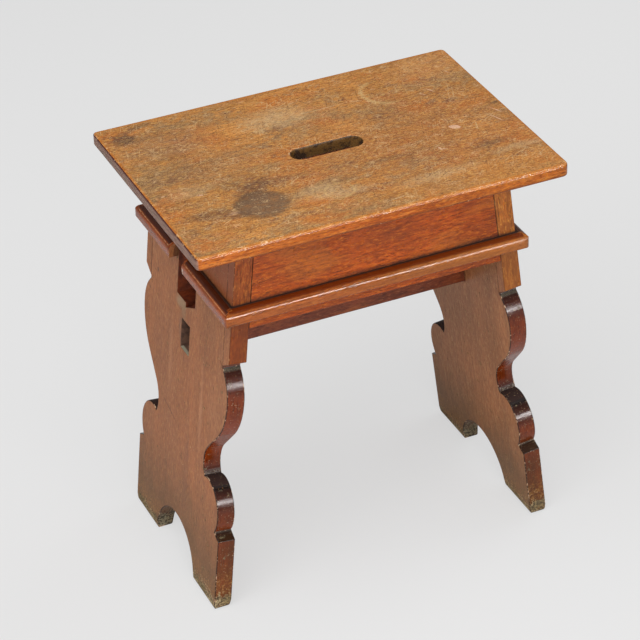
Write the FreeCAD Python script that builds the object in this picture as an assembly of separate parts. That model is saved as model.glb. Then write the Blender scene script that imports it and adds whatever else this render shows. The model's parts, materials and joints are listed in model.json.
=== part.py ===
import FreeCAD
import Part
import math
import os

from FreeCAD import Vector

# Wooden shoe fitting stool, in millimetres.
# Origin: on the floor, under the middle of the seat. X runs along the seat, -Y is the front,
# +Z is up. The slot and the open mortise are in the left (-X) end board.

# ---------------------------------------------------------------- driving dimensions

# seat
STOOL_HEIGHT = 502.0
SEAT_LENGTH = 452.0
SEAT_WIDTH = 320.0
SEAT_OVERHANG = 34.0
SEAT_THICKNESS = 16.0
SEAT_CORNER_RADIUS = 5.0
SEAT_EDGE_RADIUS = 3.2
HOLD_LENGTH = 88.0
HOLD_WIDTH = 25.0
HOLD_OFFSET_Y = 2.0
HOLD_RIM_RADIUS = 2.5
HOLD_UNDERSIDE_CHAMFER = 1.5

# splayed end boards. Their feet stand in from the ends of the seat by the inset.
SPLAY_DEG = 6.24
FOOT_INSET = 5.7
BOARD_THICKNESS = 22.0
BOARD_EDGE_CHAMFER = 1.0

# outline of an end board: half widths from the middle, heights measured up along the board
FOOT_HALF_WIDTH = 125.0
FOOT_HEIGHT = 97.0
ARCH_RADIUS = 57.5
LOW_NOTCH_HALF_WIDTH = 112.5
LOW_NOTCH_HEIGHT = 103.0
LOW_LOBE_HALF_WIDTH = 119.5
LOW_LOBE_HEIGHT = 125.5
LOW_SHOULDER_HALF_WIDTH = 104.5
LOW_SHOULDER_HEIGHT = 156.0
MID_NOTCH_HALF_WIDTH = 76.0
MID_NOTCH_HEIGHT = 159.5
WAIST_HALF_WIDTH = 71.5
WAIST_HEIGHT = 176.0
WAIST_RADIUS = 38.0
HIGH_LOBE_HALF_WIDTH = 127.5
HIGH_LOBE_HEIGHT = 285.0
HIGH_LOBE_RADIUS = 84.0
HIGH_NOTCH_HEIGHT = 323.5

# frieze: rails between upright corner strips
RAIL_THICKNESS = 16.5
RAIL_HEIGHT = 111.0
STRIP_RISE_OVER_NOTCH = 3.0
STRIP_END_BEVEL = 10.0
STRIP_EDGE_RADIUS = 0.8
TONGUE_THICKNESS = 6.0
TONGUE_LENGTH = 6.0

# bead moulding round the frieze
MOULDING_DROP = 76.7
MOULDING_HEIGHT = 18.0
MOULDING_PROJECTION = 12.5
MOULDING_TOP_RADIUS = 10.5
MOULDING_ARRIS_CHAMFER = 0.8
MOULDING_GAP_REAR = 31.0
MOULDING_GAP_FRONT = -8.0
MOULDING_END_ROUND = 6.0

# stretcher on the centre line, and its mortises
STRETCHER_BOTTOM = 282.0
STRETCHER_HEIGHT = 38.0
STRETCHER_THICKNESS = 24.0
STRETCHER_CHAMFER = 1.5
TENON_LENGTH = 11.0

# open slot at the top of the left end board
SLOT_REAR = 29.0
SLOT_FRONT = -24.0
SLOT_BRIDGE = 25.0
SLOT_STEP_Y = 2.5
SLOT_STEP_DROP = 6.0
SLOT_RAMP_RISE = 13.0

# battens and blocks inside the frieze
CLEAT_WIDTH = 16.0
CLEAT_HEIGHT = 16.0
CLEAT_SLOT_MARGIN = 3.0
BLOCK_WIDTH = 20.0
BLOCK_BEVEL = 11.0
BLOCK_CLEAR_OF_RAIL_BOTTOM = 6.0

# fixings: screws, square cut brads, and loose tongues between strips and end boards
SCREW_HEAD_RADIUS = 3.8
SCREW_SHANK_RADIUS = 2.0
SCREW_HEAD_DEPTH = 2.6
SEAT_SCREW_BITE = 10.0
LEG_SCREW_BITE = 14.0
SEAT_SCREW_END_MARGIN = 18.0
LEG_SCREW_OFFSET_Y = 60.0
LOOSE_TONGUE_THICKNESS = 4.0
LOOSE_TONGUE_WIDTH = 12.0
LOOSE_TONGUE_END_MARGIN = 12.0
BRAD_SIZE = 1.5
BRAD_BELOW_SURFACE = 1.5
BRAD_BITE = 9.0
BRAD_END_MARGIN = 22.0

# clearances
FIT = 0.1
TONGUE_FIT = 0.2

# ---------------------------------------------------------------- worked-out sizes

SPLAY = math.radians(SPLAY_DEG)
SEAT_UNDERSIDE = STOOL_HEIGHT - SEAT_THICKNESS
FOOT_REACH = SEAT_LENGTH / 2 - FOOT_INSET
FRAME_HALF = SEAT_WIDTH / 2 - SEAT_OVERHANG
CORE_HALF = FRAME_HALF - RAIL_THICKNESS
RAIL_BOTTOM = SEAT_UNDERSIDE - RAIL_HEIGHT
STRIP_BOTTOM = HIGH_NOTCH_HEIGHT + STRIP_RISE_OVER_NOTCH
MOULDING_TOP = SEAT_UNDERSIDE - MOULDING_DROP
MOULDING_BOTTOM = MOULDING_TOP - MOULDING_HEIGHT
MOULDING_MIDDLE = MOULDING_TOP - MOULDING_HEIGHT / 2
STRETCHER_TOP = STRETCHER_BOTTOM + STRETCHER_HEIGHT
SLOT_FLOOR = STRETCHER_TOP + SLOT_BRIDGE
CLEAT_BOTTOM = SEAT_UNDERSIDE - CLEAT_HEIGHT
CLEAT_INNER_Y = CORE_HALF - CLEAT_WIDTH

# cutting tools and blanks run past the work by this much, and runs of an edge past their notch
PAST = 8.0
RUN_ON = 4.0

X_AXIS = Vector(1, 0, 0)
Y_AXIS = Vector(0, 1, 0)
Z_AXIS = Vector(0, 0, 1)
ORIGIN = Vector(0, 0, 0)


# ---------------------------------------------------------------- helpers

def face_x(z, depth=0.0):
    """Distance from the middle to a plane inside an end board, depth in from its outer face."""
    return FOOT_REACH - depth / math.cos(SPLAY) - z * math.tan(SPLAY)


def box(x0, x1, y0, y1, z0, z1):
    return Part.makeBox(x1 - x0, y1 - y0, z1 - z0, Vector(x0, y0, z0))


def prism(points, along):
    """Solid of a closed polygon of 3-D points, pushed along a vector."""
    wire = Part.makePolygon(points + points[:1])
    return Part.Face(wire).extrude(along)


def spanning_bar(depth, y0, y1, z0, z1):
    """Bar along X whose ends lie on the plane that is depth inside each end board."""
    low, high = face_x(z0, depth), face_x(z1, depth)
    corners = [
        Vector(-low, y0, z0),
        Vector(low, y0, z0),
        Vector(high, y0, z1),
        Vector(-high, y0, z1),
    ]
    return prism(corners, Y_AXIS * (y1 - y0))


def on_left_board(shape):
    """Leans a shape drawn on an upright board at x = 0 to the left end board's splay and place."""
    leaning = shape.copy()
    leaning.rotate(ORIGIN, Y_AXIS, SPLAY_DEG)
    leaning.translate(Vector(-FOOT_REACH, 0, 0))
    return leaning


def mirror_x(shape):
    return shape.mirror(ORIGIN, X_AXIS)


def mirror_y(shape):
    return shape.mirror(ORIGIN, Y_AXIS)


def group(shapes):
    return Part.makeCompound(shapes)


def cut_all(shape, tools):
    return shape.cut(tools) if tools else shape


def edges_where(shape, test):
    return [edge for edge in shape.Edges if test(edge)]


def middle(edge):
    first, last = edge.ParameterRange
    return edge.valueAt((first + last) / 2)


def save(name, shape):
    shape.exportStep("parts/" + name + ".step")


# ---------------------------------------------------------------- fixings

def screw(head, direction, length, grow=0.0):
    """Countersunk wood screw. grow fattens it into the hole that it needs."""
    head_radius, shank_radius = SCREW_HEAD_RADIUS + grow, SCREW_SHANK_RADIUS + grow
    profile = [
        Vector(0, 0, -grow),
        Vector(head_radius, 0, -grow),
        Vector(shank_radius, 0, SCREW_HEAD_DEPTH),
        Vector(shank_radius, 0, length + grow),
        Vector(0, 0, length + grow),
    ]
    solid = Part.Face(Part.makePolygon(profile + profile[:1])).revolve(ORIGIN, Z_AXIS, 360)
    solid.Placement = FreeCAD.Placement(head, FreeCAD.Rotation(Z_AXIS, direction))
    return solid


def spread(first, last, count):
    """Evenly spaced positions from first to last."""
    return [first + (last - first) * i / (count - 1) for i in range(count)]


def seat_screws(grow=0.0):
    """Screws up through the long cleats into the seat, near both ends of each cleat."""
    reach_x = face_x(CLEAT_BOTTOM, BOARD_THICKNESS) - CLEAT_WIDTH - SEAT_SCREW_END_MARGIN
    reach_y = CORE_HALF - CLEAT_WIDTH / 2
    places = [(x, y) for x in (-reach_x, reach_x) for y in (-reach_y, reach_y)]
    length = CLEAT_HEIGHT + SEAT_SCREW_BITE
    return [screw(Vector(x, y, CLEAT_BOTTOM), Z_AXIS, length, grow) for x, y in places]


def leg_screws(grow=0.0):
    """Level screws through the end cleats into the end boards."""
    z = CLEAT_BOTTOM + CLEAT_HEIGHT / 2
    head_x = face_x(CLEAT_BOTTOM, BOARD_THICKNESS) - CLEAT_WIDTH
    length = CLEAT_WIDTH + LEG_SCREW_BITE
    places = [(side, y) for side in (-1, 1) for y in (-LEG_SCREW_OFFSET_Y, LEG_SCREW_OFFSET_Y)]
    return [screw(Vector(side * head_x, y, z), X_AXIS * side, length, grow) for side, y in places]


def strip_tongues(grow=0.0):
    """Loose tongues in grooves between the corner strips and the end boards' edges."""
    half_t = LOOSE_TONGUE_THICKNESS / 2 + grow
    half_w = LOOSE_TONGUE_WIDTH / 2 + grow
    middle_x = BOARD_THICKNESS / 2
    low = STRIP_BOTTOM + LOOSE_TONGUE_END_MARGIN - grow
    high = SEAT_UNDERSIDE / math.cos(SPLAY) - LOOSE_TONGUE_END_MARGIN + grow
    rear = box(middle_x - half_t, middle_x + half_t, CORE_HALF - half_w, CORE_HALF + half_w, low, high)
    left = [on_left_board(tongue) for tongue in (rear, mirror_y(rear))]
    return left + [mirror_x(tongue) for tongue in left]


def brad(head, direction, grow):
    """Square brad that runs level into the frieze, from just under the moulding's nose."""
    length = MOULDING_PROJECTION - BRAD_BELOW_SURFACE + BRAD_BITE
    half = BRAD_SIZE / 2 + grow
    far = head + direction * (length + grow)
    near = head - direction * grow
    side = direction.cross(Z_AXIS) * half
    up = Z_AXIS * half
    corners = [near + side + up, near - side + up, near - side - up, near + side - up]
    return prism(corners, far - near)


def moulding_brads(grow=0.0):
    """Three brads in a long moulding, two in the right return, one or two in the left ones."""
    nose = MOULDING_PROJECTION - BRAD_BELOW_SURFACE
    nose_x = face_x(MOULDING_MIDDLE) + nose
    nose_y = FRAME_HALF + nose
    along_x = face_x(MOULDING_MIDDLE) - BRAD_END_MARGIN
    along_y = FRAME_HALF - BRAD_END_MARGIN
    by_gap = (SLOT_FRONT - BRAD_END_MARGIN / 2, SLOT_REAR + BRAD_END_MARGIN / 2)
    starts = [(x, side * nose_y, -Y_AXIS * side) for x in spread(-along_x, along_x, 3) for side in (-1, 1)]
    starts += [(nose_x, y, -X_AXIS) for y in (-along_y, along_y)]
    starts += [(-nose_x, y, X_AXIS) for y in (-along_y, along_y) + by_gap]
    return [brad(Vector(x, y, MOULDING_MIDDLE), direction, grow) for x, y, direction in starts]


# ---------------------------------------------------------------- end boards

def sloping_tangent(hollow_centre, hollow_radius, lobe_centre, lobe_radius):
    """Ends of the straight line that leaves a hollow round and runs on into a full one."""
    du = lobe_centre[0] - hollow_centre[0]
    dh = lobe_centre[1] - hollow_centre[1]
    turn = math.acos(-(hollow_radius + lobe_radius) / math.hypot(du, dh))
    normal = math.atan2(dh, du) - turn
    leave = polar(hollow_centre, -hollow_radius, normal)
    meet = polar(lobe_centre, lobe_radius, normal)
    return leave, meet


def polar(centre, radius, angle):
    return (centre[0] + radius * math.cos(angle), centre[1] + radius * math.sin(angle))


def tangent_arc(start, heading, end):
    """Arc that leaves start along heading and ends at end, and the heading at its end."""
    du, dh = end[0] - start[0], end[1] - start[1]
    turn = math.atan2(dh, du) - heading
    radius = math.hypot(du, dh) / (2 * math.sin(turn))
    centre = polar(start, radius, heading + math.pi / 2)
    via = polar(centre, radius, heading - math.pi / 2 + turn)
    return ("arc", start, via, end), heading + 2 * turn


def line_to(start, end):
    return ("line", start, end)


def edge_runs():
    """The three smooth runs of a shaped edge, each a list of segments (half width, height).

    Foot, low lobe, and hollow with high lobe. They meet in the sharp notches.
    """
    up, down = math.pi / 2, -math.pi / 2
    foot = (FOOT_HALF_WIDTH, FOOT_HEIGHT)
    low_notch = (LOW_NOTCH_HALF_WIDTH, LOW_NOTCH_HEIGHT)
    low_side = (LOW_LOBE_HALF_WIDTH, LOW_LOBE_HEIGHT)
    shoulder = (LOW_SHOULDER_HALF_WIDTH, LOW_SHOULDER_HEIGHT)
    mid_notch = (MID_NOTCH_HALF_WIDTH, MID_NOTCH_HEIGHT)
    waist = (WAIST_HALF_WIDTH, WAIST_HEIGHT)
    high_side = (HIGH_LOBE_HALF_WIDTH, HIGH_LOBE_HEIGHT)
    high_notch = (CORE_HALF, HIGH_NOTCH_HEIGHT)

    waist_centre = (WAIST_HALF_WIDTH + WAIST_RADIUS, WAIST_HEIGHT)
    lobe_centre = (HIGH_LOBE_HALF_WIDTH - HIGH_LOBE_RADIUS, HIGH_LOBE_HEIGHT)
    leave, meet = sloping_tangent(waist_centre, WAIST_RADIUS, lobe_centre, HIGH_LOBE_RADIUS)

    lobe_below, in_low = tangent_arc(low_side, down, low_notch)
    lobe_above, over = tangent_arc(low_side, up, shoulder)
    lobe_top, in_mid = tangent_arc(shoulder, over, mid_notch)
    hollow_below, out_mid = tangent_arc(waist, down, mid_notch)
    hollow_above, _ = tangent_arc(waist, up, leave)
    belly, _ = tangent_arc(high_side, down, meet)
    cap, in_high = tangent_arc(high_side, up, high_notch)
    foot_slope = math.atan2(LOW_NOTCH_HEIGHT - FOOT_HEIGHT, LOW_NOTCH_HALF_WIDTH - FOOT_HALF_WIDTH)
    return [
        [
            line_to((FOOT_HALF_WIDTH, -PAST), foot),
            line_to(foot, polar(low_notch, RUN_ON, foot_slope)),
        ],
        [
            line_to(polar(low_notch, RUN_ON, in_low), low_notch),
            lobe_below,
            lobe_above,
            lobe_top,
            line_to(mid_notch, polar(mid_notch, RUN_ON, in_mid)),
        ],
        [
            line_to(polar(mid_notch, RUN_ON, out_mid), mid_notch),
            hollow_below,
            hollow_above,
            line_to(leave, meet),
            belly,
            cap,
            line_to(high_notch, polar(high_notch, RUN_ON, in_high)),
        ],
    ]


def drawn(segment):
    """Edge of an outline segment on the board's face."""
    points = [Vector(0, half_width, height) for half_width, height in segment[1:]]
    if segment[0] == "arc":
        return Part.Arc(*points).toShape()
    return Part.makeLine(*points)


def eased(blank, on_run):
    """Takes off the arrises along the edges that on_run picks on both faces of an upright board."""
    arrises = edges_where(blank, lambda e: e.BoundBox.XLength < 0.01 and on_run(middle(e)))
    return blank.makeChamfer(BOARD_EDGE_CHAMFER, arrises)


def run_solid(run, inner):
    """Part of the board between one run of its edge and a line inside it."""
    first, last = run[0][1], run[-1][-1]
    edges = [drawn(segment) for segment in run]
    corners = [
        Vector(0, last[0], last[1]),
        Vector(0, inner, last[1]),
        Vector(0, inner, first[1]),
        Vector(0, first[0], first[1]),
    ]
    edges += [Part.makeLine(a, b) for a, b in zip(corners, corners[1:])]
    blank = Part.Face(Part.Wire(Part.__sortEdges__(edges))).extrude(X_AXIS * BOARD_THICKNESS)
    low, high = min(first[1], last[1]), max(first[1], last[1])

    def on_run(point):
        return point.y > inner + 0.01 and low + 0.01 < point.z < high - 0.01

    return eased(blank, on_run)


def arched_core(inner, top):
    """Middle of the board, with the arch between its feet."""
    core = box(0, BOARD_THICKNESS, -inner, inner, -PAST, top)
    opening = Part.makeCylinder(ARCH_RADIUS, BOARD_THICKNESS, ORIGIN, X_AXIS)
    below = box(0, BOARD_THICKNESS, -ARCH_RADIUS, ARCH_RADIUS, -PAST, 0)
    core = core.cut(opening.fuse(below).removeSplitter())

    def on_arch(point):
        return math.hypot(point.y, max(point.z, 0)) < ARCH_RADIUS + 0.01 and point.z > -PAST + 0.01

    return eased(core, on_arch)


def scalloped_board():
    """End board as cut from the plank, upright, with its shaped edges eased."""
    top = SEAT_UNDERSIDE / math.cos(SPLAY) + PAST
    inner = (ARCH_RADIUS + WAIST_HALF_WIDTH) / 2
    core = arched_core(inner, top)
    sides = [run_solid(run, inner - RUN_ON) for run in edge_runs()]
    sides.append(box(0, BOARD_THICKNESS, inner - RUN_ON, CORE_HALF, HIGH_NOTCH_HEIGHT - RUN_ON, top))
    return core.fuse(sides + [mirror_y(side) for side in sides]).removeSplitter()


def floor_to_seat():
    """Everything between the floor and the seat's underside."""
    reach = FOOT_REACH + PAST
    depth = FRAME_HALF + PAST
    return box(-reach, reach, -depth, depth, 0, SEAT_UNDERSIDE)


def slot_cutter():
    """Open slot through the left end board. Its floor steps down, then ramps up to the front."""
    outline = [
        (SLOT_REAR, SLOT_FLOOR),
        (SLOT_STEP_Y, SLOT_FLOOR),
        (SLOT_STEP_Y, SLOT_FLOOR - SLOT_STEP_DROP),
        (SLOT_FRONT, SLOT_FLOOR - SLOT_STEP_DROP + SLOT_RAMP_RISE),
        (SLOT_FRONT, SEAT_UNDERSIDE + PAST),
        (SLOT_REAR, SEAT_UNDERSIDE + PAST),
    ]
    outer = -face_x(SLOT_FLOOR - SLOT_STEP_DROP) - PAST
    inner = -face_x(SEAT_UNDERSIDE, BOARD_THICKNESS) + PAST
    return prism([Vector(outer, y, z) for y, z in outline], X_AXIS * (inner - outer))


def mortise_cutter(depth):
    """Mortise for the stretcher, cut level from the inner faces out to depth inside the boards."""
    half = STRETCHER_THICKNESS / 2 + FIT
    return spanning_bar(depth, -half, half, STRETCHER_BOTTOM - FIT, STRETCHER_TOP + FIT)


def left_leg_board():
    board = on_left_board(scalloped_board()).common(floor_to_seat())
    tools = [slot_cutter(), mortise_cutter(-PAST)]
    return cut_all(board, tools + strip_tongues(FIT) + leg_screws(FIT) + moulding_brads(FIT))


def right_leg_board():
    board = mirror_x(on_left_board(scalloped_board())).common(floor_to_seat())
    tools = [mortise_cutter(BOARD_THICKNESS - TENON_LENGTH - FIT)]
    return cut_all(board, tools + strip_tongues(FIT) + leg_screws(FIT) + moulding_brads(FIT))


def left_rear_strip_blank():
    """Upright strip glued to an end board's edge, with its lower end cut on a bevel."""
    top = SEAT_UNDERSIDE / math.cos(SPLAY) + PAST
    outline = [
        Vector(0, CORE_HALF, STRIP_BOTTOM),
        Vector(0, FRAME_HALF, STRIP_BOTTOM + STRIP_END_BEVEL),
        Vector(0, FRAME_HALF, top),
        Vector(0, CORE_HALF, top),
    ]
    strip = prism(outline, X_AXIS * BOARD_THICKNESS)

    def outer_arris(edge):
        point = middle(edge)
        return point.y > FRAME_HALF - 0.01 and edge.BoundBox.ZLength > 1

    strip = strip.makeFillet(STRIP_EDGE_RADIUS, edges_where(strip, outer_arris))
    return on_left_board(strip).common(floor_to_seat())


def tongues(rail_side, length, grow):
    """Both end tongues of a rail in one bar. grow widens it into the grooves."""
    centre = rail_side * (FRAME_HALF - RAIL_THICKNESS / 2)
    half = TONGUE_THICKNESS / 2 + grow
    depth = BOARD_THICKNESS - length - grow
    return spanning_bar(depth, centre - half, centre + half, RAIL_BOTTOM - grow, SEAT_UNDERSIDE)


def corner_strip(end, side):
    """end is -1 for left and 1 for right, side is -1 for front and 1 for rear."""
    strip = left_rear_strip_blank()
    if side < 0:
        strip = mirror_y(strip)
    if end > 0:
        strip = mirror_x(strip)
    grooves = tongues(side, TONGUE_LENGTH, TONGUE_FIT)
    return cut_all(strip, [grooves] + strip_tongues(FIT) + moulding_brads(FIT))


# ---------------------------------------------------------------- rails and stretcher

def rail(side):
    outer, inner = side * FRAME_HALF, side * CORE_HALF
    y0, y1 = min(outer, inner), max(outer, inner)
    body = spanning_bar(BOARD_THICKNESS, y0, y1, RAIL_BOTTOM, SEAT_UNDERSIDE)
    body = body.fuse(tongues(side, TONGUE_LENGTH, 0.0)).removeSplitter()
    return cut_all(body, moulding_brads(FIT))


def stretcher():
    half = STRETCHER_THICKNESS / 2
    depth = BOARD_THICKNESS - TENON_LENGTH
    bar = spanning_bar(depth, -half, half, STRETCHER_BOTTOM, STRETCHER_TOP)
    shoulder = face_x(STRETCHER_BOTTOM, BOARD_THICKNESS) - PAST

    def chamfer_wedge(side):
        """Takes off one lower arris between the end boards."""
        corner_y = side * half
        size = STRETCHER_CHAMFER
        outer_y, inner_y = corner_y + side * PAST, corner_y - side * (size + PAST)
        triangle = [
            Vector(-shoulder, outer_y, STRETCHER_BOTTOM - PAST),
            Vector(-shoulder, outer_y, STRETCHER_BOTTOM + size + PAST),
            Vector(-shoulder, inner_y, STRETCHER_BOTTOM - PAST),
        ]
        return prism(triangle, X_AXIS * (2 * shoulder))

    return bar.cut([chamfer_wedge(-1), chamfer_wedge(1)])


# ---------------------------------------------------------------- moulding

def moulding_section(back):
    """Face across the moulding, in the YZ plane, with its nose towards -Y and its back at back."""
    nose = -MOULDING_PROJECTION
    radius, chamfer = MOULDING_TOP_RADIUS, MOULDING_ARRIS_CHAMFER
    bulge = radius * math.sqrt(0.5)
    via = Vector(0, nose + radius - bulge, MOULDING_TOP - radius + bulge)
    top_back = Vector(0, back, MOULDING_TOP)
    top_edge = Vector(0, nose + radius, MOULDING_TOP)
    nose_top = Vector(0, nose, MOULDING_TOP - radius)
    nose_low = Vector(0, nose, MOULDING_BOTTOM + chamfer)
    low_edge = Vector(0, nose + chamfer, MOULDING_BOTTOM)
    low_back = Vector(0, back, MOULDING_BOTTOM)
    edges = [
        Part.makeLine(top_back, top_edge),
        Part.Arc(top_edge, via, nose_top).toShape(),
        Part.makeLine(nose_top, nose_low),
        Part.makeLine(nose_low, low_edge),
        Part.makeLine(low_edge, low_back),
        Part.makeLine(low_back, top_back),
    ]
    return Part.Face(Part.Wire(edges))


def mitre_region(corner_x, corner_y):
    """Tall block over the front moulding, its ends on the two mitre lines through the corners."""
    out = MOULDING_PROJECTION + PAST
    plan = [
        Vector(-corner_x - out, -corner_y - out, 0),
        Vector(corner_x + out, -corner_y - out, 0),
        Vector(corner_x - PAST, -corner_y + PAST, 0),
        Vector(-corner_x + PAST, -corner_y + PAST, 0),
    ]
    return prism(plan, Z_AXIS * STOOL_HEIGHT)


def front_moulding():
    corner_x = face_x(MOULDING_MIDDLE)
    length = corner_x + MOULDING_PROJECTION
    bar = moulding_section(0).extrude(X_AXIS * (2 * length))
    bar.translate(Vector(-length, -FRAME_HALF, 0))
    bar = bar.common(mitre_region(corner_x, FRAME_HALF))
    return cut_all(bar, moulding_brads(FIT))


def rear_moulding():
    return mirror_y(front_moulding())


def left_return():
    """Length of moulding along the left end board, its back scribed to the board's slope."""
    corner_x = face_x(MOULDING_MIDDLE)
    length = FRAME_HALF + MOULDING_PROJECTION
    bar = moulding_section(PAST).extrude(X_AXIS * (2 * length))
    bar.translate(Vector(-length, -corner_x, 0))
    bar = bar.common(mitre_region(FRAME_HALF, corner_x))
    bar.rotate(ORIGIN, Z_AXIS, -90)
    depth = FRAME_HALF + MOULDING_PROJECTION + PAST
    end_boards = spanning_bar(0, -depth, depth, MOULDING_BOTTOM - PAST, MOULDING_TOP + PAST)
    return bar.cut(end_boards)


def right_moulding():
    return cut_all(mirror_x(left_return()), moulding_brads(FIT))


def gap_side(y0, y1):
    """Block that holds the part of the left moulding between two places."""
    outer = -face_x(MOULDING_BOTTOM) - MOULDING_PROJECTION - PAST
    inner = -face_x(MOULDING_TOP) + PAST
    return box(outer, inner, y0, y1, MOULDING_BOTTOM - PAST, MOULDING_TOP + PAST)


def left_rear_moulding():
    piece = left_return().common(gap_side(MOULDING_GAP_REAR, SEAT_WIDTH))
    return cut_all(piece, moulding_brads(FIT))


def left_front_moulding():
    """Its end at the gap is rounded in plan."""
    piece = left_return().common(gap_side(-SEAT_WIDTH, MOULDING_GAP_FRONT))
    nose_x = -face_x(MOULDING_MIDDLE) - MOULDING_PROJECTION
    radius = MOULDING_END_ROUND
    low, high = MOULDING_BOTTOM - PAST, MOULDING_TOP + PAST
    y0, y1 = MOULDING_GAP_FRONT - radius, MOULDING_GAP_FRONT + PAST
    corner = box(nose_x - PAST, nose_x + radius, y0, y1, low, high)
    centre = Vector(nose_x + radius, MOULDING_GAP_FRONT - radius, low)
    piece = piece.cut(corner.cut(Part.makeCylinder(radius, high - low, centre)))
    return cut_all(piece, moulding_brads(FIT))


# ---------------------------------------------------------------- seat

def hold_cutter():
    """Oblong hand hold with round ends, through the seat."""
    radius = HOLD_WIDTH / 2
    reach = HOLD_LENGTH / 2 - radius
    low = SEAT_UNDERSIDE - PAST
    height = SEAT_THICKNESS + 2 * PAST
    middle_block = box(-reach, reach, HOLD_OFFSET_Y - radius, HOLD_OFFSET_Y + radius, low, low + height)
    ends = [Part.makeCylinder(radius, height, Vector(x, HOLD_OFFSET_Y, low)) for x in (-reach, reach)]
    return middle_block.fuse(ends).removeSplitter()


def seat_board():
    half_l, half_w = SEAT_LENGTH / 2, SEAT_WIDTH / 2
    seat = box(-half_l, half_l, -half_w, half_w, SEAT_UNDERSIDE, STOOL_HEIGHT)
    upright = edges_where(seat, lambda e: e.BoundBox.ZLength > SEAT_THICKNESS / 2)
    seat = seat.makeFillet(SEAT_CORNER_RADIUS, upright)
    level = edges_where(seat, lambda e: e.BoundBox.ZLength < 0.01)
    seat = seat.makeFillet(SEAT_EDGE_RADIUS, level)
    seat = seat.cut(hold_cutter())

    def hold_edges(z):
        def at_hold(edge):
            point = middle(edge)
            level = edge.BoundBox.ZLength < 0.01 and abs(point.z - z) < 0.01
            return level and math.hypot(point.x, point.y) < HOLD_LENGTH / 2 + 1

        return edges_where(seat, at_hold)

    seat = seat.makeFillet(HOLD_RIM_RADIUS, hold_edges(STOOL_HEIGHT))
    seat = seat.makeChamfer(HOLD_UNDERSIDE_CHAMFER, hold_edges(SEAT_UNDERSIDE))
    return cut_all(seat, seat_screws(FIT))


# ---------------------------------------------------------------- inside the frieze

def long_cleat(side):
    """Batten under the seat along a rail, from end board to end board."""
    outer, inner = side * CORE_HALF, side * CLEAT_INNER_Y
    y0, y1 = min(outer, inner), max(outer, inner)
    bar = spanning_bar(BOARD_THICKNESS, y0, y1, CLEAT_BOTTOM, SEAT_UNDERSIDE)
    return cut_all(bar, seat_screws(FIT))


def end_cleat(end, y0, y1):
    """Batten under the seat along an end board, its back scribed to the board's slope."""
    inner = face_x(CLEAT_BOTTOM, BOARD_THICKNESS) - CLEAT_WIDTH
    outer = inner + CLEAT_WIDTH + PAST
    bar = box(inner, outer, y0, y1, CLEAT_BOTTOM, SEAT_UNDERSIDE)
    depth = FRAME_HALF
    bar = bar.common(spanning_bar(BOARD_THICKNESS, -depth, depth, CLEAT_BOTTOM, SEAT_UNDERSIDE))
    if end < 0:
        bar = mirror_x(bar)
    return cut_all(bar, seat_screws(FIT) + leg_screws(FIT))


def corner_glue_blocks():
    """Four upright blocks behind the rails, each with its free corner bevelled."""
    low = RAIL_BOTTOM + BLOCK_CLEAR_OF_RAIL_BOTTOM
    inner_x = face_x(low, BOARD_THICKNESS) - BLOCK_WIDTH
    outer_x = face_x(low, BOARD_THICKNESS) + PAST
    inner_y = CORE_HALF - BLOCK_WIDTH
    plan = [
        Vector(inner_x + BLOCK_BEVEL, inner_y, low),
        Vector(outer_x, inner_y, low),
        Vector(outer_x, CORE_HALF, low),
        Vector(inner_x, CORE_HALF, low),
        Vector(inner_x, inner_y + BLOCK_BEVEL, low),
    ]
    block = prism(plan, Z_AXIS * (CLEAT_BOTTOM - low))
    block = block.common(spanning_bar(BOARD_THICKNESS, -FRAME_HALF, FRAME_HALF, low, CLEAT_BOTTOM))
    right = [block, mirror_y(block)]
    return group(right + [mirror_x(b) for b in right])


# ---------------------------------------------------------------- the stool

def main():
    os.makedirs("parts", exist_ok=True)
    save("seat_board", seat_board())
    save("left_leg_board", left_leg_board())
    save("right_leg_board", right_leg_board())
    for end, end_name in ((-1, "left"), (1, "right")):
        for side, side_name in ((-1, "front"), (1, "rear")):
            save(end_name + "_" + side_name + "_corner_strip", corner_strip(end, side))
    save("front_rail", rail(-1))
    save("rear_rail", rail(1))
    save("stretcher", stretcher())
    save("front_moulding", front_moulding())
    save("rear_moulding", rear_moulding())
    save("right_moulding", right_moulding())
    save("left_front_moulding", left_front_moulding())
    save("left_rear_moulding", left_rear_moulding())
    save("front_seat_cleat", long_cleat(-1))
    save("rear_seat_cleat", long_cleat(1))
    save("right_seat_cleat", end_cleat(1, -CLEAT_INNER_Y, CLEAT_INNER_Y))
    save("left_front_seat_cleat", end_cleat(-1, -CLEAT_INNER_Y, SLOT_FRONT - CLEAT_SLOT_MARGIN))
    save("left_rear_seat_cleat", end_cleat(-1, SLOT_REAR + CLEAT_SLOT_MARGIN, CLEAT_INNER_Y))
    save("corner_glue_blocks", corner_glue_blocks())
    save("seat_screws", group(seat_screws()))
    save("leg_screws", group(leg_screws()))
    save("strip_tongues", group(strip_tongues()))
    save("moulding_brads", group(moulding_brads()))


main()
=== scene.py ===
"""Shoe fitting stool: the dressed model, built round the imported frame, in metres."""

import json
import math

import bpy
import numpy as np
from bpy.props import FloatProperty, FloatVectorProperty, PointerProperty
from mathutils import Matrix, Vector
from mathutils.bvhtree import BVHTree

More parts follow.
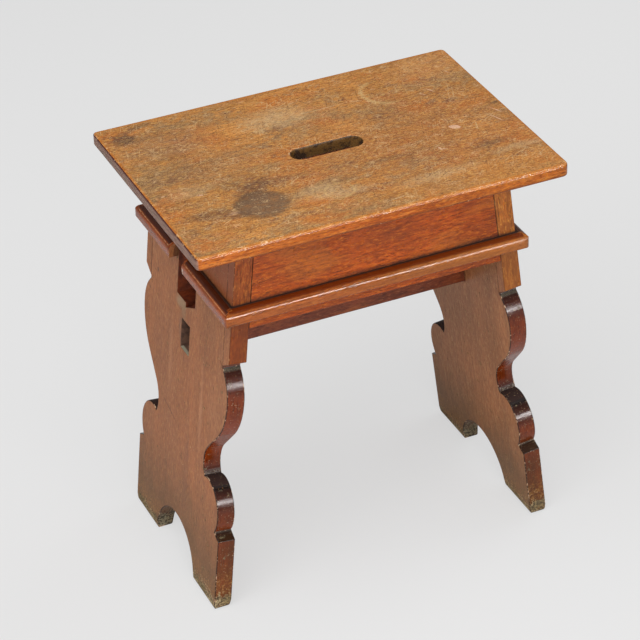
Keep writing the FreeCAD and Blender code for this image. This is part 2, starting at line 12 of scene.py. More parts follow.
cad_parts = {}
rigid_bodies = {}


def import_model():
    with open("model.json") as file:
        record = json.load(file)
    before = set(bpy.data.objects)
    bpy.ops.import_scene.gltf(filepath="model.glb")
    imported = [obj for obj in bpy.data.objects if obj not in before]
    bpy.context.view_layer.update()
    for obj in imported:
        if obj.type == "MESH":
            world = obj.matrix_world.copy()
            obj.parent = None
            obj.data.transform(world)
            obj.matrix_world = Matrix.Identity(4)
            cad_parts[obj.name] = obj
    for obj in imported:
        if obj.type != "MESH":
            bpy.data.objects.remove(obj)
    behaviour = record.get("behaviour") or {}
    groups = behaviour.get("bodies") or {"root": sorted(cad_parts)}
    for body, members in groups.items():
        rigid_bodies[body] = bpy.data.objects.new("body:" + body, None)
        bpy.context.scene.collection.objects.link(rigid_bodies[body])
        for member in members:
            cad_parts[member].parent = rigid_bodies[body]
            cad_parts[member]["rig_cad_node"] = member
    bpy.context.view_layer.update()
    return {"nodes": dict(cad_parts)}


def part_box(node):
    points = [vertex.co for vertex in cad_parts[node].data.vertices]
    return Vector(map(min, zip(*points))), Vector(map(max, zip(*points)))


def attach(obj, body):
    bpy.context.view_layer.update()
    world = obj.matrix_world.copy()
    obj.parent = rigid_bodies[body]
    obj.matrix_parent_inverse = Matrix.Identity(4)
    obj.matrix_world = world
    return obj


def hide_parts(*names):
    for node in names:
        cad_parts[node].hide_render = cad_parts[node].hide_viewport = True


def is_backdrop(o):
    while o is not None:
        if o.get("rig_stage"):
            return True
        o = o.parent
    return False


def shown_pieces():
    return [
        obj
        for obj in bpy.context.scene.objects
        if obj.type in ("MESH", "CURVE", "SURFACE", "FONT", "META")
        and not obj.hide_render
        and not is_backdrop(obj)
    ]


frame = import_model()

bl_info = {
    "name": "Shoe Fitting Stool",
    "version": (1, 0, 0),
    "blender": (4, 5, 0),
    "location": "View3D > Sidebar > Stool",
    "description": "Builds a worn wooden shoe fitting stool round its packed solids",
    "category": "Object",
}

BODY = "root"

# ------------ the stool's own sizes, in metres

SPLAY = math.radians(6.24)
FOOT_REACH = 0.2203
BOARD = 0.022
ARCH_RADIUS = 0.0575

SEAT_LOW, SEAT_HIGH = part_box("seat_board")
FRONT_RAIL_LOW, FRONT_RAIL_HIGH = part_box("front_rail")
MOULDING_LOW, MOULDING_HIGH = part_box("front_moulding")
STRETCHER_LOW, STRETCHER_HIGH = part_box("stretcher")
STRIP_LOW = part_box("left_rear_corner_strip")[0]

SEAT_UNDERSIDE = SEAT_LOW.z
FRAME_HALF = -FRONT_RAIL_LOW.y
CORE_HALF = -FRONT_RAIL_HIGH.y
MOULDING_PROJECTION = -MOULDING_LOW.y - FRAME_HALF
MOULDING_MIDDLE = (MOULDING_LOW.z + MOULDING_HIGH.z) / 2

# end board's edge, from the floor up: half width and height along the board
FOOT = (0.125, 0.097)
LOW_NOTCH = (0.1125, 0.103)
LOW_LOBE = (0.1195, 0.1255)
LOW_SHOULDER = (0.1045, 0.156)
MID_NOTCH = (0.076, 0.1595)
WAIST = (0.0715, 0.176)
WAIST_RADIUS = 0.038
HIGH_LOBE = (0.1275, 0.285)
HIGH_LOBE_RADIUS = 0.084
HIGH_NOTCH = (CORE_HALF, 0.3235)

HOLD_LENGTH, HOLD_WIDTH, HOLD_Y = 0.088, 0.025, 0.002
# seat's worn corners: the end and the side that each is at, and its radius
SEAT_CORNERS = ((-1, -1, 0.0062), (1, -1, 0.008), (-1, 1, 0.0045), (1, 1, 0.0062))
# widths of the arrises, the hidden ones being those against the next piece
SEAT_ARRIS, HOLD_UNDER_ARRIS = 0.0025, 0.0015
FOOT_ARRIS, BOARD_INNER_ARRIS, MOUTH_ARRIS, BOARD_HIDDEN_ARRIS = 0.0025, 0.0006, 0.0005, 0.0003
STRIP_ARRIS, STRIP_HIDDEN_ARRIS, RAIL_ARRIS = 0.0009, 0.0004, 0.0008
STRETCHER_LOW_ARRIS, STRETCHER_HIGH_ARRIS = 0.0015, 0.0006

SLOT_REAR, SLOT_FRONT, SLOT_FLOOR = 0.029, -0.024, 0.345
SLOT_STEP, SLOT_STEP_Y, SLOT_RAMP_RISE = 0.339, 0.0025, 0.013
# blanks of the mortises, nearest to and farthest from the stool's middle
MORTISE_NEAR, MORTISE_FAR = 0.12, 0.3
STRIP_FOOT, STRIP_BEVEL = 0.3265, 0.01
BEAD_RADIUS, BEAD_ARRIS = 0.0105, 0.0012
GAP_REAR, GAP_FRONT, GAP_END_RADIUS = 0.031, -0.008, 0.0058
# worn mitres of the bead: on the left, and at the front and the rear on the right
LEFT_MITRE, FRONT_MITRE, REAR_MITRE = 0.0025, 0.008, 0.005

# the foot's wear: how far up it goes and how much it takes off at the floor
TREAD_HEIGHT, TREAD_WEAR = 0.012, 0.002
DENT_DEPTH, DENT_LEVEL = 0.0002, 1.3
# distances between the cuts that let a long face wear unevenly
CUTS, LONG_CUTS, BAR_CUTS = 0.005, 0.006, 0.008
# edges sharper than the first angle are softened, faces flatter than the second shade as one
ARRIS_ANGLE, SMOOTH_ANGLE = math.radians(24), math.radians(32)
# how sheltered a point is: rays, the lowest one's height, their start off the surface, their reach
RAYS, LOWEST_RAY, RAY_START, RAY_REACH = 16, 0.15, 0.0007, 0.02
# cutting blanks run past the work by this much
PAST = 0.02
# faces and edges on a plane are found within this much of it
NEAR = 1e-4

# material slots of a piece while it is shaped: soften() moves its arrises to the second one
FLAT, ARRIS = 0, 1


def face_x(z, depth=0.0):
    """Distance from the middle to a plane inside an end board, depth in from its outer face."""
    return FOOT_REACH - depth / math.cos(SPLAY) - z * math.tan(SPLAY)


def board_normal(side):
    """Direction that the outer face of an end board looks in."""
    return Vector((side * math.cos(SPLAY), 0, math.sin(SPLAY)))


def upright(a, b):
    """Whether the edge between two points stands up."""
    return abs(a.z - b.z) > 0.01


def under_seat(place):
    return place.z > SEAT_UNDERSIDE - 0.001


def by_axis(axis, along, across):
    """One value along an axis and another one across it."""
    return tuple(along if i == axis else across for i in range(3))


# ------------ modelling helpers

def object_mode():
    if bpy.context.object and bpy.context.object.mode != "OBJECT":
        bpy.ops.object.mode_set(mode="OBJECT")


def deselect():
    object_mode()
    bpy.ops.object.select_all(action="DESELECT")


def pick(piece):
    """Makes one piece the only selected and the active one."""
    deselect()
    piece.select_set(True)
    bpy.context.view_layer.objects.active = piece


def settle(piece, place=(0, 0, 0), turn=(0, 0, 0), scale=(1, 1, 1)):
    """Places a piece and takes the change into its mesh."""
    pick(piece)
    piece.location, piece.rotation_euler, piece.scale = place, turn, scale
    bpy.ops.object.transform_apply(location=True, rotation=True, scale=True)


def named(piece, name):
    """Names a new piece and gives it its two slots."""
    piece.name = piece.data.name = name
    for _ in (FLAT, ARRIS):
        piece.data.materials.append(None)
    return piece


def block(name, low, high):
    """Squared blank between two corners, its place in its mesh."""
    deselect()
    low, high = Vector(low), Vector(high)
    bpy.ops.mesh.primitive_cube_add(size=1, location=(low + high) / 2)
    piece = bpy.context.object
    settle(piece, (low + high) / 2, scale=high - low)
    return named(piece, name)


def edit(piece, mode=None, action="SELECT"):
    """Opens a piece for editing with all or nothing of it selected."""
    pick(piece)
    bpy.ops.object.mode_set(mode="EDIT")
    if mode:
        bpy.ops.mesh.select_mode(type=mode)
    bpy.ops.mesh.select_all(action=action)


def round_edges(piece, width, segments, test, slot=FLAT):
    """Rounds the edges that test picks by their two ends."""
    edit(piece, "EDGE", "DESELECT")
    object_mode()
    points = piece.data.vertices
    for edge in piece.data.edges:
        edge.select = test(points[edge.vertices[0]].co, points[edge.vertices[1]].co)
    bpy.ops.object.mode_set(mode="EDIT")
    bpy.ops.mesh.bevel(offset=width, segments=segments, profile=0.5, affect="EDGES",
                       clamp_overlap=False, material=slot)
    object_mode()


def trim(piece, place, normal):
    """Saws off what lies beyond a plane, on the side that normal points to."""
    edit(piece)
    bpy.ops.mesh.bisect(plane_co=place, plane_no=normal, use_fill=True, clear_outer=True)
    object_mode()


def divide(piece, step, *axes):
    """Adds cuts across the axes, so that long faces can be worn unevenly."""
    for axis in axes:
        along = [v.co[axis] for v in piece.data.vertices]
        low, high = min(along), max(along)
        count = max(int(round((high - low) / step)), 1)
        normal = Vector(by_axis(axis, 1, 0))
        edit(piece)
        for i in range(1, count):
            place = normal * (low + (high - low) * i / count + 1e-5)
            bpy.ops.mesh.select_all(action="SELECT")
            bpy.ops.mesh.bisect(plane_co=place, plane_no=normal)
        object_mode()


def modify(piece, kind, **settings):
    """Adds one modifier with its settings and applies it."""
    modifier = piece.modifiers.new(kind.lower(), kind)
    for key, value in settings.items():
        setattr(modifier, key, value)
    pick(piece)
    bpy.ops.object.modifier_apply(modifier=modifier.name)


def cut(piece, cutter):
    """Takes the cutter's solid out of the piece, and throws the cutter away."""
    modify(piece, "BOOLEAN", operation="DIFFERENCE", solver="EXACT", object=cutter)
    bpy.data.objects.remove(cutter)


def store(mesh, name, kind, domain, key, values):
    mesh.attributes.new(name, kind, domain).data.foreach_set(key, values)


def soften(piece, widths, segments=3):
    """Rounds arrises. widths gives each edge's width by its middle and its two faces' normals."""
    mesh = piece.data
    faces_of = {}
    for face in mesh.polygons:
        for key in face.edge_keys:
            faces_of.setdefault(key, []).append(face.normal.copy())
    found = np.zeros(len(mesh.edges))
    for edge in mesh.edges:
        normals = faces_of.get(edge.key, [])
        if len(normals) == 2 and normals[0].angle(normals[1]) >= ARRIS_ANGLE:
            a, b = (mesh.vertices[i].co for i in edge.vertices)
            found[edge.index] = widths((a + b) / 2, *normals)
    widest = float(found.max())
    store(mesh, "bevel_weight_edge", "FLOAT", "EDGE", "value", (found / widest).astype("f"))
    modify(piece, "BEVEL", limit_method="WEIGHT", width=widest, segments=segments, material=ARRIS,
           use_clamp_overlap=False)


def wear_down(piece, size):
    """Hollows the surface unevenly, never outwards."""
    texture = bpy.data.textures.new(piece.name + "_uneven", "CLOUDS")
    texture.noise_scale = size
    texture.noise_depth = 1
    modify(piece, "DISPLACE", texture=texture, texture_coords="LOCAL", strength=DENT_DEPTH,
           mid_level=DENT_LEVEL)
    bpy.data.textures.remove(texture)


def lean(piece):
    """Leans an upright piece at x = 0 to the left end board's splay and place."""
    settle(piece, (-FOOT_REACH, 0, 0), (0, SPLAY, 0))


def mirrored(piece, name, axis):
    """Copy on the other side of the middle plane across an axis, its faces outwards."""
    pick(piece)
    bpy.ops.object.duplicate()
    twin = bpy.context.object
    twin.name = twin.data.name = name
    settle(twin, scale=by_axis(axis, -1, 1))
    outwards(twin)
    return twin


def on_flat(face, across):
    """Whether a face belongs to the flat sides of the wood that look across it."""
    return abs(face.normal.dot(across)) > 0.72


def outwards(piece):
    edit(piece, "FACE")
    bpy.ops.mesh.remove_doubles(threshold=1e-6)
    bpy.ops.mesh.normals_make_consistent(inside=False)
    object_mode()


def mount(piece, slot, material, *nodes, second=None, on_second=None):
    """Hands the finished piece to the frame. on_second picks the second material's faces."""
    pick(piece)
    bpy.ops.object.shade_smooth_by_angle(angle=SMOOTH_ANGLE)
    modify(piece, "WEIGHTED_NORMAL", keep_sharp=True)
    mesh = piece.data
    arris = [float(face.material_index == ARRIS) for face in mesh.polygons]
    store(mesh, "arris", "FLOAT", "FACE", "value", arris)
    mesh.materials.clear()
    for finish in (material, second):
        if finish:
            mesh.materials.append(finish)
    for face in mesh.polygons:
        face.material_index = int(second is not None and on_second(face))
    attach(piece, BODY)
    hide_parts(*nodes)


# ------------ outline of an end board

def polar(centre, radius, angle):
    return (centre[0] + radius * math.cos(angle), centre[1] + radius * math.sin(angle))


def arc(start, heading, end, spacing=0.0025):
    """Points after start on the arc that leaves start along heading and ends at end."""
    across, up = end[0] - start[0], end[1] - start[1]
    turn = math.atan2(up, across) - heading
    radius = math.hypot(across, up) / (2 * math.sin(turn))
    centre = polar(start, radius, heading + math.pi / 2)
    count = max(int(abs(radius * 2 * turn) / spacing), 3)
    first = heading - math.pi / 2
    points = [polar(centre, radius, first + 2 * turn * i / count) for i in range(1, count)]
    return points + [end], heading + 2 * turn


def back_arc(start, heading, end):
    """The same arc, given as one that leaves start along heading, but run from end to start."""
    return arc(start, heading, end)[0][-2::-1] + [start]


def sloping_tangent(hollow_centre, hollow_radius, lobe_centre, lobe_radius):
    """Where the straight between a hollow and a lobe leaves the one and meets the other."""
    across = lobe_centre[0] - hollow_centre[0]
    up = lobe_centre[1] - hollow_centre[1]
    turn = math.acos(-(hollow_radius + lobe_radius) / math.hypot(across, up))
    normal = math.atan2(up, across) - turn
    return polar(hollow_centre, -hollow_radius, normal), polar(lobe_centre, lobe_radius, normal)


def side_outline(top):
    """Half widths and heights up one shaped edge, from the floor to the top of the board."""
    up, down = math.pi / 2, -math.pi / 2
    leave, meet = sloping_tangent(
        (WAIST[0] + WAIST_RADIUS, WAIST[1]), WAIST_RADIUS,
        (HIGH_LOBE[0] - HIGH_LOBE_RADIUS, HIGH_LOBE[1]), HIGH_LOBE_RADIUS)
    above, over = arc(LOW_LOBE, up, LOW_SHOULDER)
    return ([(FOOT[0], -PAST), FOOT, LOW_NOTCH]
            + back_arc(LOW_LOBE, down, LOW_NOTCH) + above
            + arc(LOW_SHOULDER, over, MID_NOTCH)[0]
            + back_arc(WAIST, down, MID_NOTCH) + arc(WAIST, up, leave)[0]
            + [meet] + back_arc(HIGH_LOBE, down, meet)
            + arc(HIGH_LOBE, up, HIGH_NOTCH)[0] + [(CORE_HALF, top)])


def drawn_board(name, top):
    """End board as sawn, upright at x = 0: its outline is drawn, filled and pushed out."""
    right = side_outline(top)
    count = int(math.pi / math.radians(2.5))
    arch = [polar((0, 0), ARCH_RADIUS, math.pi * i / count) for i in range(2, count - 1)]
    outline = right + [(-u, h) for u, h in reversed(right)]
    outline += [(-ARCH_RADIUS, -PAST), *reversed(arch), (ARCH_RADIUS, -PAST)]
    deselect()
    bpy.ops.mesh.primitive_plane_add(size=0.001, location=(0, 0, 0))
    piece = named(bpy.context.object, name)
    bpy.ops.object.mode_set(mode="EDIT")
    bpy.ops.mesh.merge(type="CENTER")
    here = Vector((0, 0, 0))
    bpy.ops.mesh.select_mode(type="VERT")
    bpy.ops.mesh.select_all(action="SELECT")
    for u, h in outline:
        there = Vector((0, u, h))
        bpy.ops.mesh.extrude_region_move(TRANSFORM_OT_translate={"value": there - here})
        here = there
    edit(piece, "VERT", "DESELECT")
    object_mode()
    piece.data.vertices[0].select = True
    bpy.ops.object.mode_set(mode="EDIT")
    bpy.ops.mesh.delete(type="VERT")
    bpy.ops.mesh.select_all(action="SELECT")
    bpy.ops.mesh.edge_face_add()
    bpy.ops.mesh.extrude_region_move(TRANSFORM_OT_translate={"value": (BOARD, 0, 0)})
    object_mode()
    outwards(piece)
    return piece


# ------------ where the wood is sheltered and which way it faces, for soiling and painted light and shade

def hemisphere(count):
    """Evenly spread directions round +Z."""
    turn = math.pi * (3 - math.sqrt(5))
    found = []
    for i in range(count):
        z = LOWEST_RAY + (1 - LOWEST_RAY) * (i + 0.5) / count
        r = math.sqrt(1 - z * z)
        found.append(Vector((r * math.cos(turn * i), r * math.sin(turn * i), z)))
    return found


def whole_stool(shown):
    """One search tree over every piece that shows."""
    points, faces = [], []
    for piece in shown:
        start = len(points)
        points += [v.co.copy() for v in piece.data.vertices]
        faces += [[start + i for i in face.vertices] for face in piece.data.polygons]
    return BVHTree.FromPolygons(points, faces)


def age(piece, tree, rays):
    """Stores how sheltered each point of a piece is and where it faces."""
    mesh = piece.data
    normals = [Vector((0, 0, 0)) for _ in mesh.vertices]
    for face in mesh.polygons:
        for i in face.vertices:
            normals[i] += face.normal * face.area
    sheltered = np.zeros(len(normals), np.float32)
    facing = np.zeros((len(normals), 3), np.float32)
    for index, vertex in enumerate(mesh.vertices):
        normal = normals[index].normalized()
        facing[index] = normal
        turned = normal.to_track_quat("Z", "Y")
        start = vertex.co + normal * RAY_START
        far = (tree.ray_cast(start, turned @ ray, RAY_REACH)[3] for ray in rays)
        sheltered[index] = sum(1 - d / RAY_REACH for d in far if d is not None) / len(rays)
    store(mesh, "sheltered", "FLOAT", "POINT", "value", sheltered)
    store(mesh, "facing", "FLOAT_VECTOR", "POINT", "vector", facing.ravel())


# ------------ materials

class Level:
    """A value in a coat's node tree. Sums with it add the nodes that do them."""

    def __init__(self, coat, socket):
        self.coat, self.socket = coat, socket

    def __add__(self, other):
        return self.coat.maths("ADD", self, other)

    def __sub__(self, other):
        return self.coat.maths("SUBTRACT", self, other)

    def __mul__(self, other):
        return self.coat.maths("MULTIPLY", self, other)

    def __or__(self, other):
        """The stronger of two masks."""
        return self.coat.maths("MAXIMUM", self, other)

    def __abs__(self):
        return self.coat.maths("ABSOLUTE", self, 0.0)

    def ramp(self, low, high, at_high=1.0, at_low=0.0):
        """Changes smoothly from at_low to at_high. low may be the greater of the two levels."""
        return self.coat.make("ShaderNodeMapRange", {
            "Value": self, "From Min": low, "From Max": high, "To Min": at_low, "To Max": at_high,
        }, interpolation_type="SMOOTHSTEP")

    def band(self, low, high, soft):
        """1 between two levels, 0 beyond them."""
        return self.ramp(low - soft, low) * self.ramp(high + soft, high)


class Coat:
    """A material's node tree, with the colour, roughness and relief laid on so far."""

    def __init__(self, name, gloss=0.3, lean=0.0):
        self.material = bpy.data.materials.new(name)
        self.material.use_nodes = True
        self.tree = self.material.node_tree
        self.shader = self.tree.nodes["Principled BSDF"]
        self.shader.inputs["Specular IOR Level"].default_value = gloss
        self.object = self.here = self.make("ShaderNodeTexCoord", {}, "Object")
        if lean:
            self.here = self.place(turn=(0, lean, 0))
        self.normal = None

    def make(self, kind, inputs, output=0, **settings):
        """Adds a node, sets it, fills or links its inputs and returns one output."""
        made = self.tree.nodes.new(kind)
        for key, value in settings.items():
            setattr(made, key, value)
        for key, value in inputs.items():
            self.put(made.inputs[key], value)
        return Level(self, made.outputs[output])

    def put(self, socket, value):
        if isinstance(value, Level):
            self.tree.links.new(value.socket, socket)
        else:
            socket.default_value = value

    def maths(self, operation, a, b, clamp=False):
        return self.make("ShaderNodeMath", {0: a, 1: b}, operation=operation, use_clamp=clamp)

    def vectors(self, operation, inputs, output=0):
        return self.make("ShaderNodeVectorMath", inputs, output, operation=operation)

    def place(self, scale=(1, 1, 1), turn=(0, 0, 0), move=(0, 0, 0), source=None):
        return self.make("ShaderNodeMapping", {
            "Vector": source or self.here, "Location": move, "Rotation": turn, "Scale": scale})

    def noise(self, scale, detail=4.0, rough=0.6, move=(0, 0, 0), source=None):
        """Noise of one fineness, or of another one along each axis of the leaning wood."""
        where = self.object
        if not isinstance(scale, float):
            where, scale = self.place(scale, move=move, source=source), 1.0
        return self.make("ShaderNodeTexNoise", {
            "Vector": where, "Scale": scale, "Detail": detail, "Roughness": rough}, "Fac")

    def mix(self, share, a, b):
        """Blends two tones, given in hex digits, as three levels or as a Level."""
        return self.make("ShaderNodeMix", {"Factor": share, 6: full(a), 7: full(b)}, 2,
                         data_type="RGBA")

    def lay(self, tone, share, *levels):
        """Covers the colour so far with a tone, by a share or where a value runs through levels."""
        self.colour = self.mix(share.ramp(*levels) if levels else share, self.colour, tone)

    def stored(self, name, output="Fac"):
        return self.make("ShaderNodeAttribute", {}, output, attribute_name=name)

    def axis(self, name, source=None):
        return self.make("ShaderNodeSeparateXYZ", {0: source or self.object}, name)

    def facing(self, axis):
        """How far the surface faces along an axis, from -1 to 1."""
        return self.axis(axis, self.stored("facing", "Vector"))

    def up_the_board(self):
        """Height along a leaning end board, from its foot."""
        return self.axis("Z", self.here) + FOOT_REACH * math.sin(SPLAY)

    def out_of_the_board(self):
        """Distance out from a leaning end board's outer face, less than 0 inside."""
        return abs(self.axis("X", self.here)) - FOOT_REACH * math.cos(SPLAY)

    def oval(self, source, x, y, long, wide, turn, soft):
        """1 inside an oval on the first two axes, 0 outside it."""
        placed = self.make("ShaderNodeMapping", {
            "Vector": source, "Location": (x, y, 0), "Rotation": (0, 0, math.radians(turn)),
            "Scale": (long, wide, 1000)}, vector_type="TEXTURE")
        return self.vectors("LENGTH", {0: placed}, "Value").ramp(1 - soft, 1 + soft, 0.0, 1.0)

    def warped(self, scale, amount, source=None):
        """Coordinates stirred by noise."""
        stir = self.make("ShaderNodeTexNoise", {"Vector": self.here, "Scale": scale,
                                                "Detail": 4.0}, "Color")
        level = self.vectors("SUBTRACT", {0: stir, 1: (0.5, 0.5, 0.5)})
        return self.vectors("ADD", {0: source or self.here,
                                    1: self.vectors("SCALE", {0: level, "Scale": amount})})

    def bump(self, height, strength, distance):
        """Adds relief over the relief so far."""
        under = {"Normal": self.normal} if self.normal else {}
        self.normal = self.make("ShaderNodeBump", {
            "Strength": strength, "Distance": distance, "Height": height, **under})

    def finish(self, relief=0.0, deep=0.0003):
        """Connects the coat, its fibres and pores standing in relief of a strength and depth."""
        if relief:
            self.bump(self.height, relief, deep)
        self.put(self.shader.inputs["Base Color"], self.colour)
        self.put(self.shader.inputs["Roughness"], self.rough)
        if self.normal:
            self.put(self.shader.inputs["Normal"], self.normal)
        return self.material


def linear(hexed):
    """Linear colour of six hex digits."""
    parts = [int(hexed[i:i + 2], 16) / 255 for i in (0, 2, 4)]
    return tuple(p / 12.92 if p <= 0.04045 else ((p + 0.055) / 1.055) ** 2.4 for p in parts)


def full(tone):
    """Tone as a colour input takes it."""
    if isinstance(tone, Level):
        return tone
    return (*(linear(tone) if isinstance(tone, str) else tone), 1.0)


def shade(colour, factor):
    return tuple(min(c * factor, 1.0) for c in colour)


def wood(name, along, tone, seed, dark, light, gloss, lean=0.0, ring=50.0, streak=0.5, fibre=0.5,
         pore=0.5):
    """Starts a wood finish: its fibres along one axis, dark and light the ends of its tones.

    ring is the fineness of its rings. streak, fibre and pore are the strengths of its coarse,
    fine and finest marks.
    """
    coat = Coat(name, gloss, lean)
    dark, light = shade(tone, dark), shade(tone, light)
    move = (seed * 1.7, seed * 2.3, seed * 3.1)

    def grain(across, length, detail, rough, source=None):
        return coat.noise(by_axis(along, length, across), detail, rough, move, source)

    sway = (grain(22, 5, 2.0, 0.5) - 0.5) * 0.02
    shift = coat.vectors("SCALE", {0: by_axis(along, 0.0, 0.7), "Scale": sway})
    swayed = coat.vectors("ADD", {0: coat.here, 1: shift})
    rings = grain(ring, 3, 3.0, 0.55, swayed)
    streaks = grain(150, 8, 4.0, 0.6, swayed)
    fibres = grain(420, 22, 3.0, 0.65, swayed)
    pores = grain(900, 80, 2.0, 0.6, swayed)
    cloud = grain(9, 9, 3.0, 0.55)

    coat.colour = coat.mix(rings.ramp(0.36, 0.64), coat.mix(0.5, dark, tone), tone)
    coat.lay(light, cloud, 0.4, 0.7, 0.6)
    coat.lay(light, streaks, 0.52, 0.72, streak)
    coat.lay(dark, streaks, 0.5, 0.3, streak)
    coat.lay(dark, fibres, 0.56, 0.34, fibre)
    pitted = pores.ramp(0.56, 0.68, pore)
    coat.lay(shade(dark, 0.35), pitted)
    coat.height = fibres * 0.5 - pitted * 0.7
    return coat


def fleck(coat, along, seed, tone, share):
    """Short dark and light flecks along the fibres, a millimetre or two across."""
    flecks = coat.noise(by_axis(along, 140, 520), 3.0, 0.7, (seed, 5, 3))
    gold = tuple(min(c * lift, 1.0) for c, lift in zip(tone, (1.5, 2.3, 2.6)))
    coat.lay(gold, flecks, 0.53, 0.65, share)
    coat.lay(shade(tone, 0.36), flecks, 0.47, 0.35, share)


def weather(coat, dirt_and_shade_tone, chip, line=None, chipped=0.6, share=0.5, fill=0.9):
    """Draws the softened arrises, chips them in places and darkens the sheltered corners, as
    soiling and painted shade.

    line is the colour along the arrises, share how much of them is chipped, and chipped and fill
    are the strengths of the chips and of the soiling with painted shade.
    """
    arris = coat.stored("arris")
    grit = coat.noise(330.0, 4.0, 0.65)
    patch = coat.noise(60.0, 3.0, 0.6)
    if line:
        coat.lay(line, arris * 0.8)
    whole = 0.63 - 0.26 * share
    chips = arris * (patch * 0.4 + grit * 0.6).ramp(whole, whole + 0.06, chipped)
    coat.lay(chip, chips)
    # sheltered places are darkened: soiling, and painted shade where the hollows lie in shade
    dirt_and_shade = (coat.stored("sheltered") + (grit - 0.5) * 0.3).ramp(0.14, 0.44, fill)
    coat.lay(dirt_and_shade_tone, dirt_and_shade)
    coat.rough = coat.rough + dirt_and_shade * 0.4 + chips * 0.12


def mark(coat, source, marks, broken):
    """Lays marks on a coat: their places, radii, turns in degrees, softness, tones, strengths."""
    for *outline, tone, strength in marks:
        coat.lay(tone, coat.oval(source, *outline)
                 * broken.ramp(0.25, 0.6, strength, strength * 0.5))


# Marks on the seat's top, from its middle: place, radii, turn in degrees, softness, tone and
# strength.
GREY_BROWN = "6E5844"
PURPLE_BROWN = "5F4236"
PALE = "D0B084"
CHIP = "E2B494"
ROUND_STAIN = (
    (-0.117, -0.083, 0.0315, 0.0305, 0, 0.14, "5A4434", 0.72),
    (-0.115, -0.085, 0.0265, 0.025, 0, 0.3, "7A604A", 0.5),
)
STAINS = (
    (0.1, -0.03, 0.13, 0.08, 0, 0.8, "A4643A", 0.45),
    (0.15, -0.142, 0.12, 0.026, 0, 0.8, "D4893C", 0.5),
    (0.19, 0.125, 0.045, 0.035, 0, 0.8, "CC9460", 0.5),
    (-0.16, 0.09, 0.05, 0.03, -8, 0.6, "8A6650", 0.5),
    (-0.135, 0.02, 0.06, 0.026, 10, 0.7, "84624A", 0.45),
    (-0.112, -0.046, 0.027, 0.011, 16, 0.55, PURPLE_BROWN, 0.72),
    (-0.085, -0.04, 0.042, 0.0075, -14, 0.6, PURPLE_BROWN, 0.55),
    (-0.128, -0.066, 0.019, 0.007, 28, 0.5, "4E372C", 0.6),
    (-0.172, -0.082, 0.029, 0.0105, -14, 0.55, PURPLE_BROWN, 0.72),
    (-0.147, -0.094, 0.018, 0.0045, 10, 0.5, PURPLE_BROWN, 0.6),
    (-0.151, -0.087, 0.0075, 0.004, 0, 0.6, "BC9476", 0.75),
    (-0.2, 0.125, 0.0135, 0.0115, 0, 0.4, "554238", 0.75),
    (-0.182, 0.143, 0.02, 0.004, 18, 0.5, "5F4A3C", 0.65),
    (-0.148, 0.134, 0.034, 0.003, 4, 0.6, GREY_BROWN, 0.45),
    (-0.16, 0.076, 0.03, 0.013, 0, 0.7, "8E7050", 0.4),
    (-0.023, 0.091, 0.038, 0.021, 0, 0.75, PALE, 0.62),
    (-0.046, -0.085, 0.022, 0.012, 0, 0.75, PALE, 0.5),
    (-0.029, -0.1, 0.033, 0.0085, 0, 0.6, PALE, 0.45),
    (-0.175, -0.02, 0.024, 0.012, 0, 0.75, PALE, 0.35),
    (0.086, -0.114, 0.045, 0.008, 3, 0.7, PALE, 0.42),
    (0.17, -0.078, 0.028, 0.0065, 10, 0.6, GREY_BROWN, 0.5),
    (0.195, -0.095, 0.027, 0.0055, 5, 0.6, PALE, 0.5),
    (0.048, -0.056, 0.03, 0.0045, 4, 0.6, GREY_BROWN, 0.42),
)
NICKS = (
    (0.219, 0.009, 0.006, 0.0025, 10, 0.5, "4E3A2C", 0.6),
    (0.15, -0.023, 0.0068, 0.0042, -30, 0.14, CHIP, 0.95),
    (0.03, 0.088, 0.031, 0.0007, 1, 0.5, PALE, 0.65),
    (0.211, -0.008, 0.008, 0.0008, -62, 0.4, CHIP, 0.85),
    (0.203, -0.026, 0.0105, 0.0007, -68, 0.4, CHIP, 0.8),
    (0.113, -0.061, 0.0045, 0.0009, -80, 0.4, CHIP, 0.85),
    (0.117, -0.064, 0.0035, 0.0007, -30, 0.4, CHIP, 0.75),
    (0.165, 0.07, 0.0065, 0.0008, -66, 0.4, CHIP, 0.7),
    (0.152, 0.066, 0.004, 0.0008, -40, 0.4, CHIP, 0.7),
    (0.203, 0.103, 0.004, 0.0007, -70, 0.4, CHIP, 0.6),
    (-0.208, -0.017, 0.003, 0.0011, 20, 0.4, CHIP, 0.7),
    (-0.17, -0.033, 0.0035, 0.0014, -20, 0.4, CHIP, 0.75),
    (-0.1, -0.125, 0.025, 0.0006, 24, 0.4, PALE, 0.5),
    (0.02, -0.14, 0.013, 0.0008, 6, 0.4, PALE, 0.6),
)
# pale rings left by wet glasses: middle, radius and where they still show, with its radius
RING_MARKS = (((0.119, 0.093), 0.03, (0.099, 0.09), 0.03),
              ((-0.028, -0.094), 0.0165, (-0.028, -0.098), 0.02))
# directions of the fine scratches, in degrees from the seat's length
SCRATCHES = (14, -33, 58, -71)


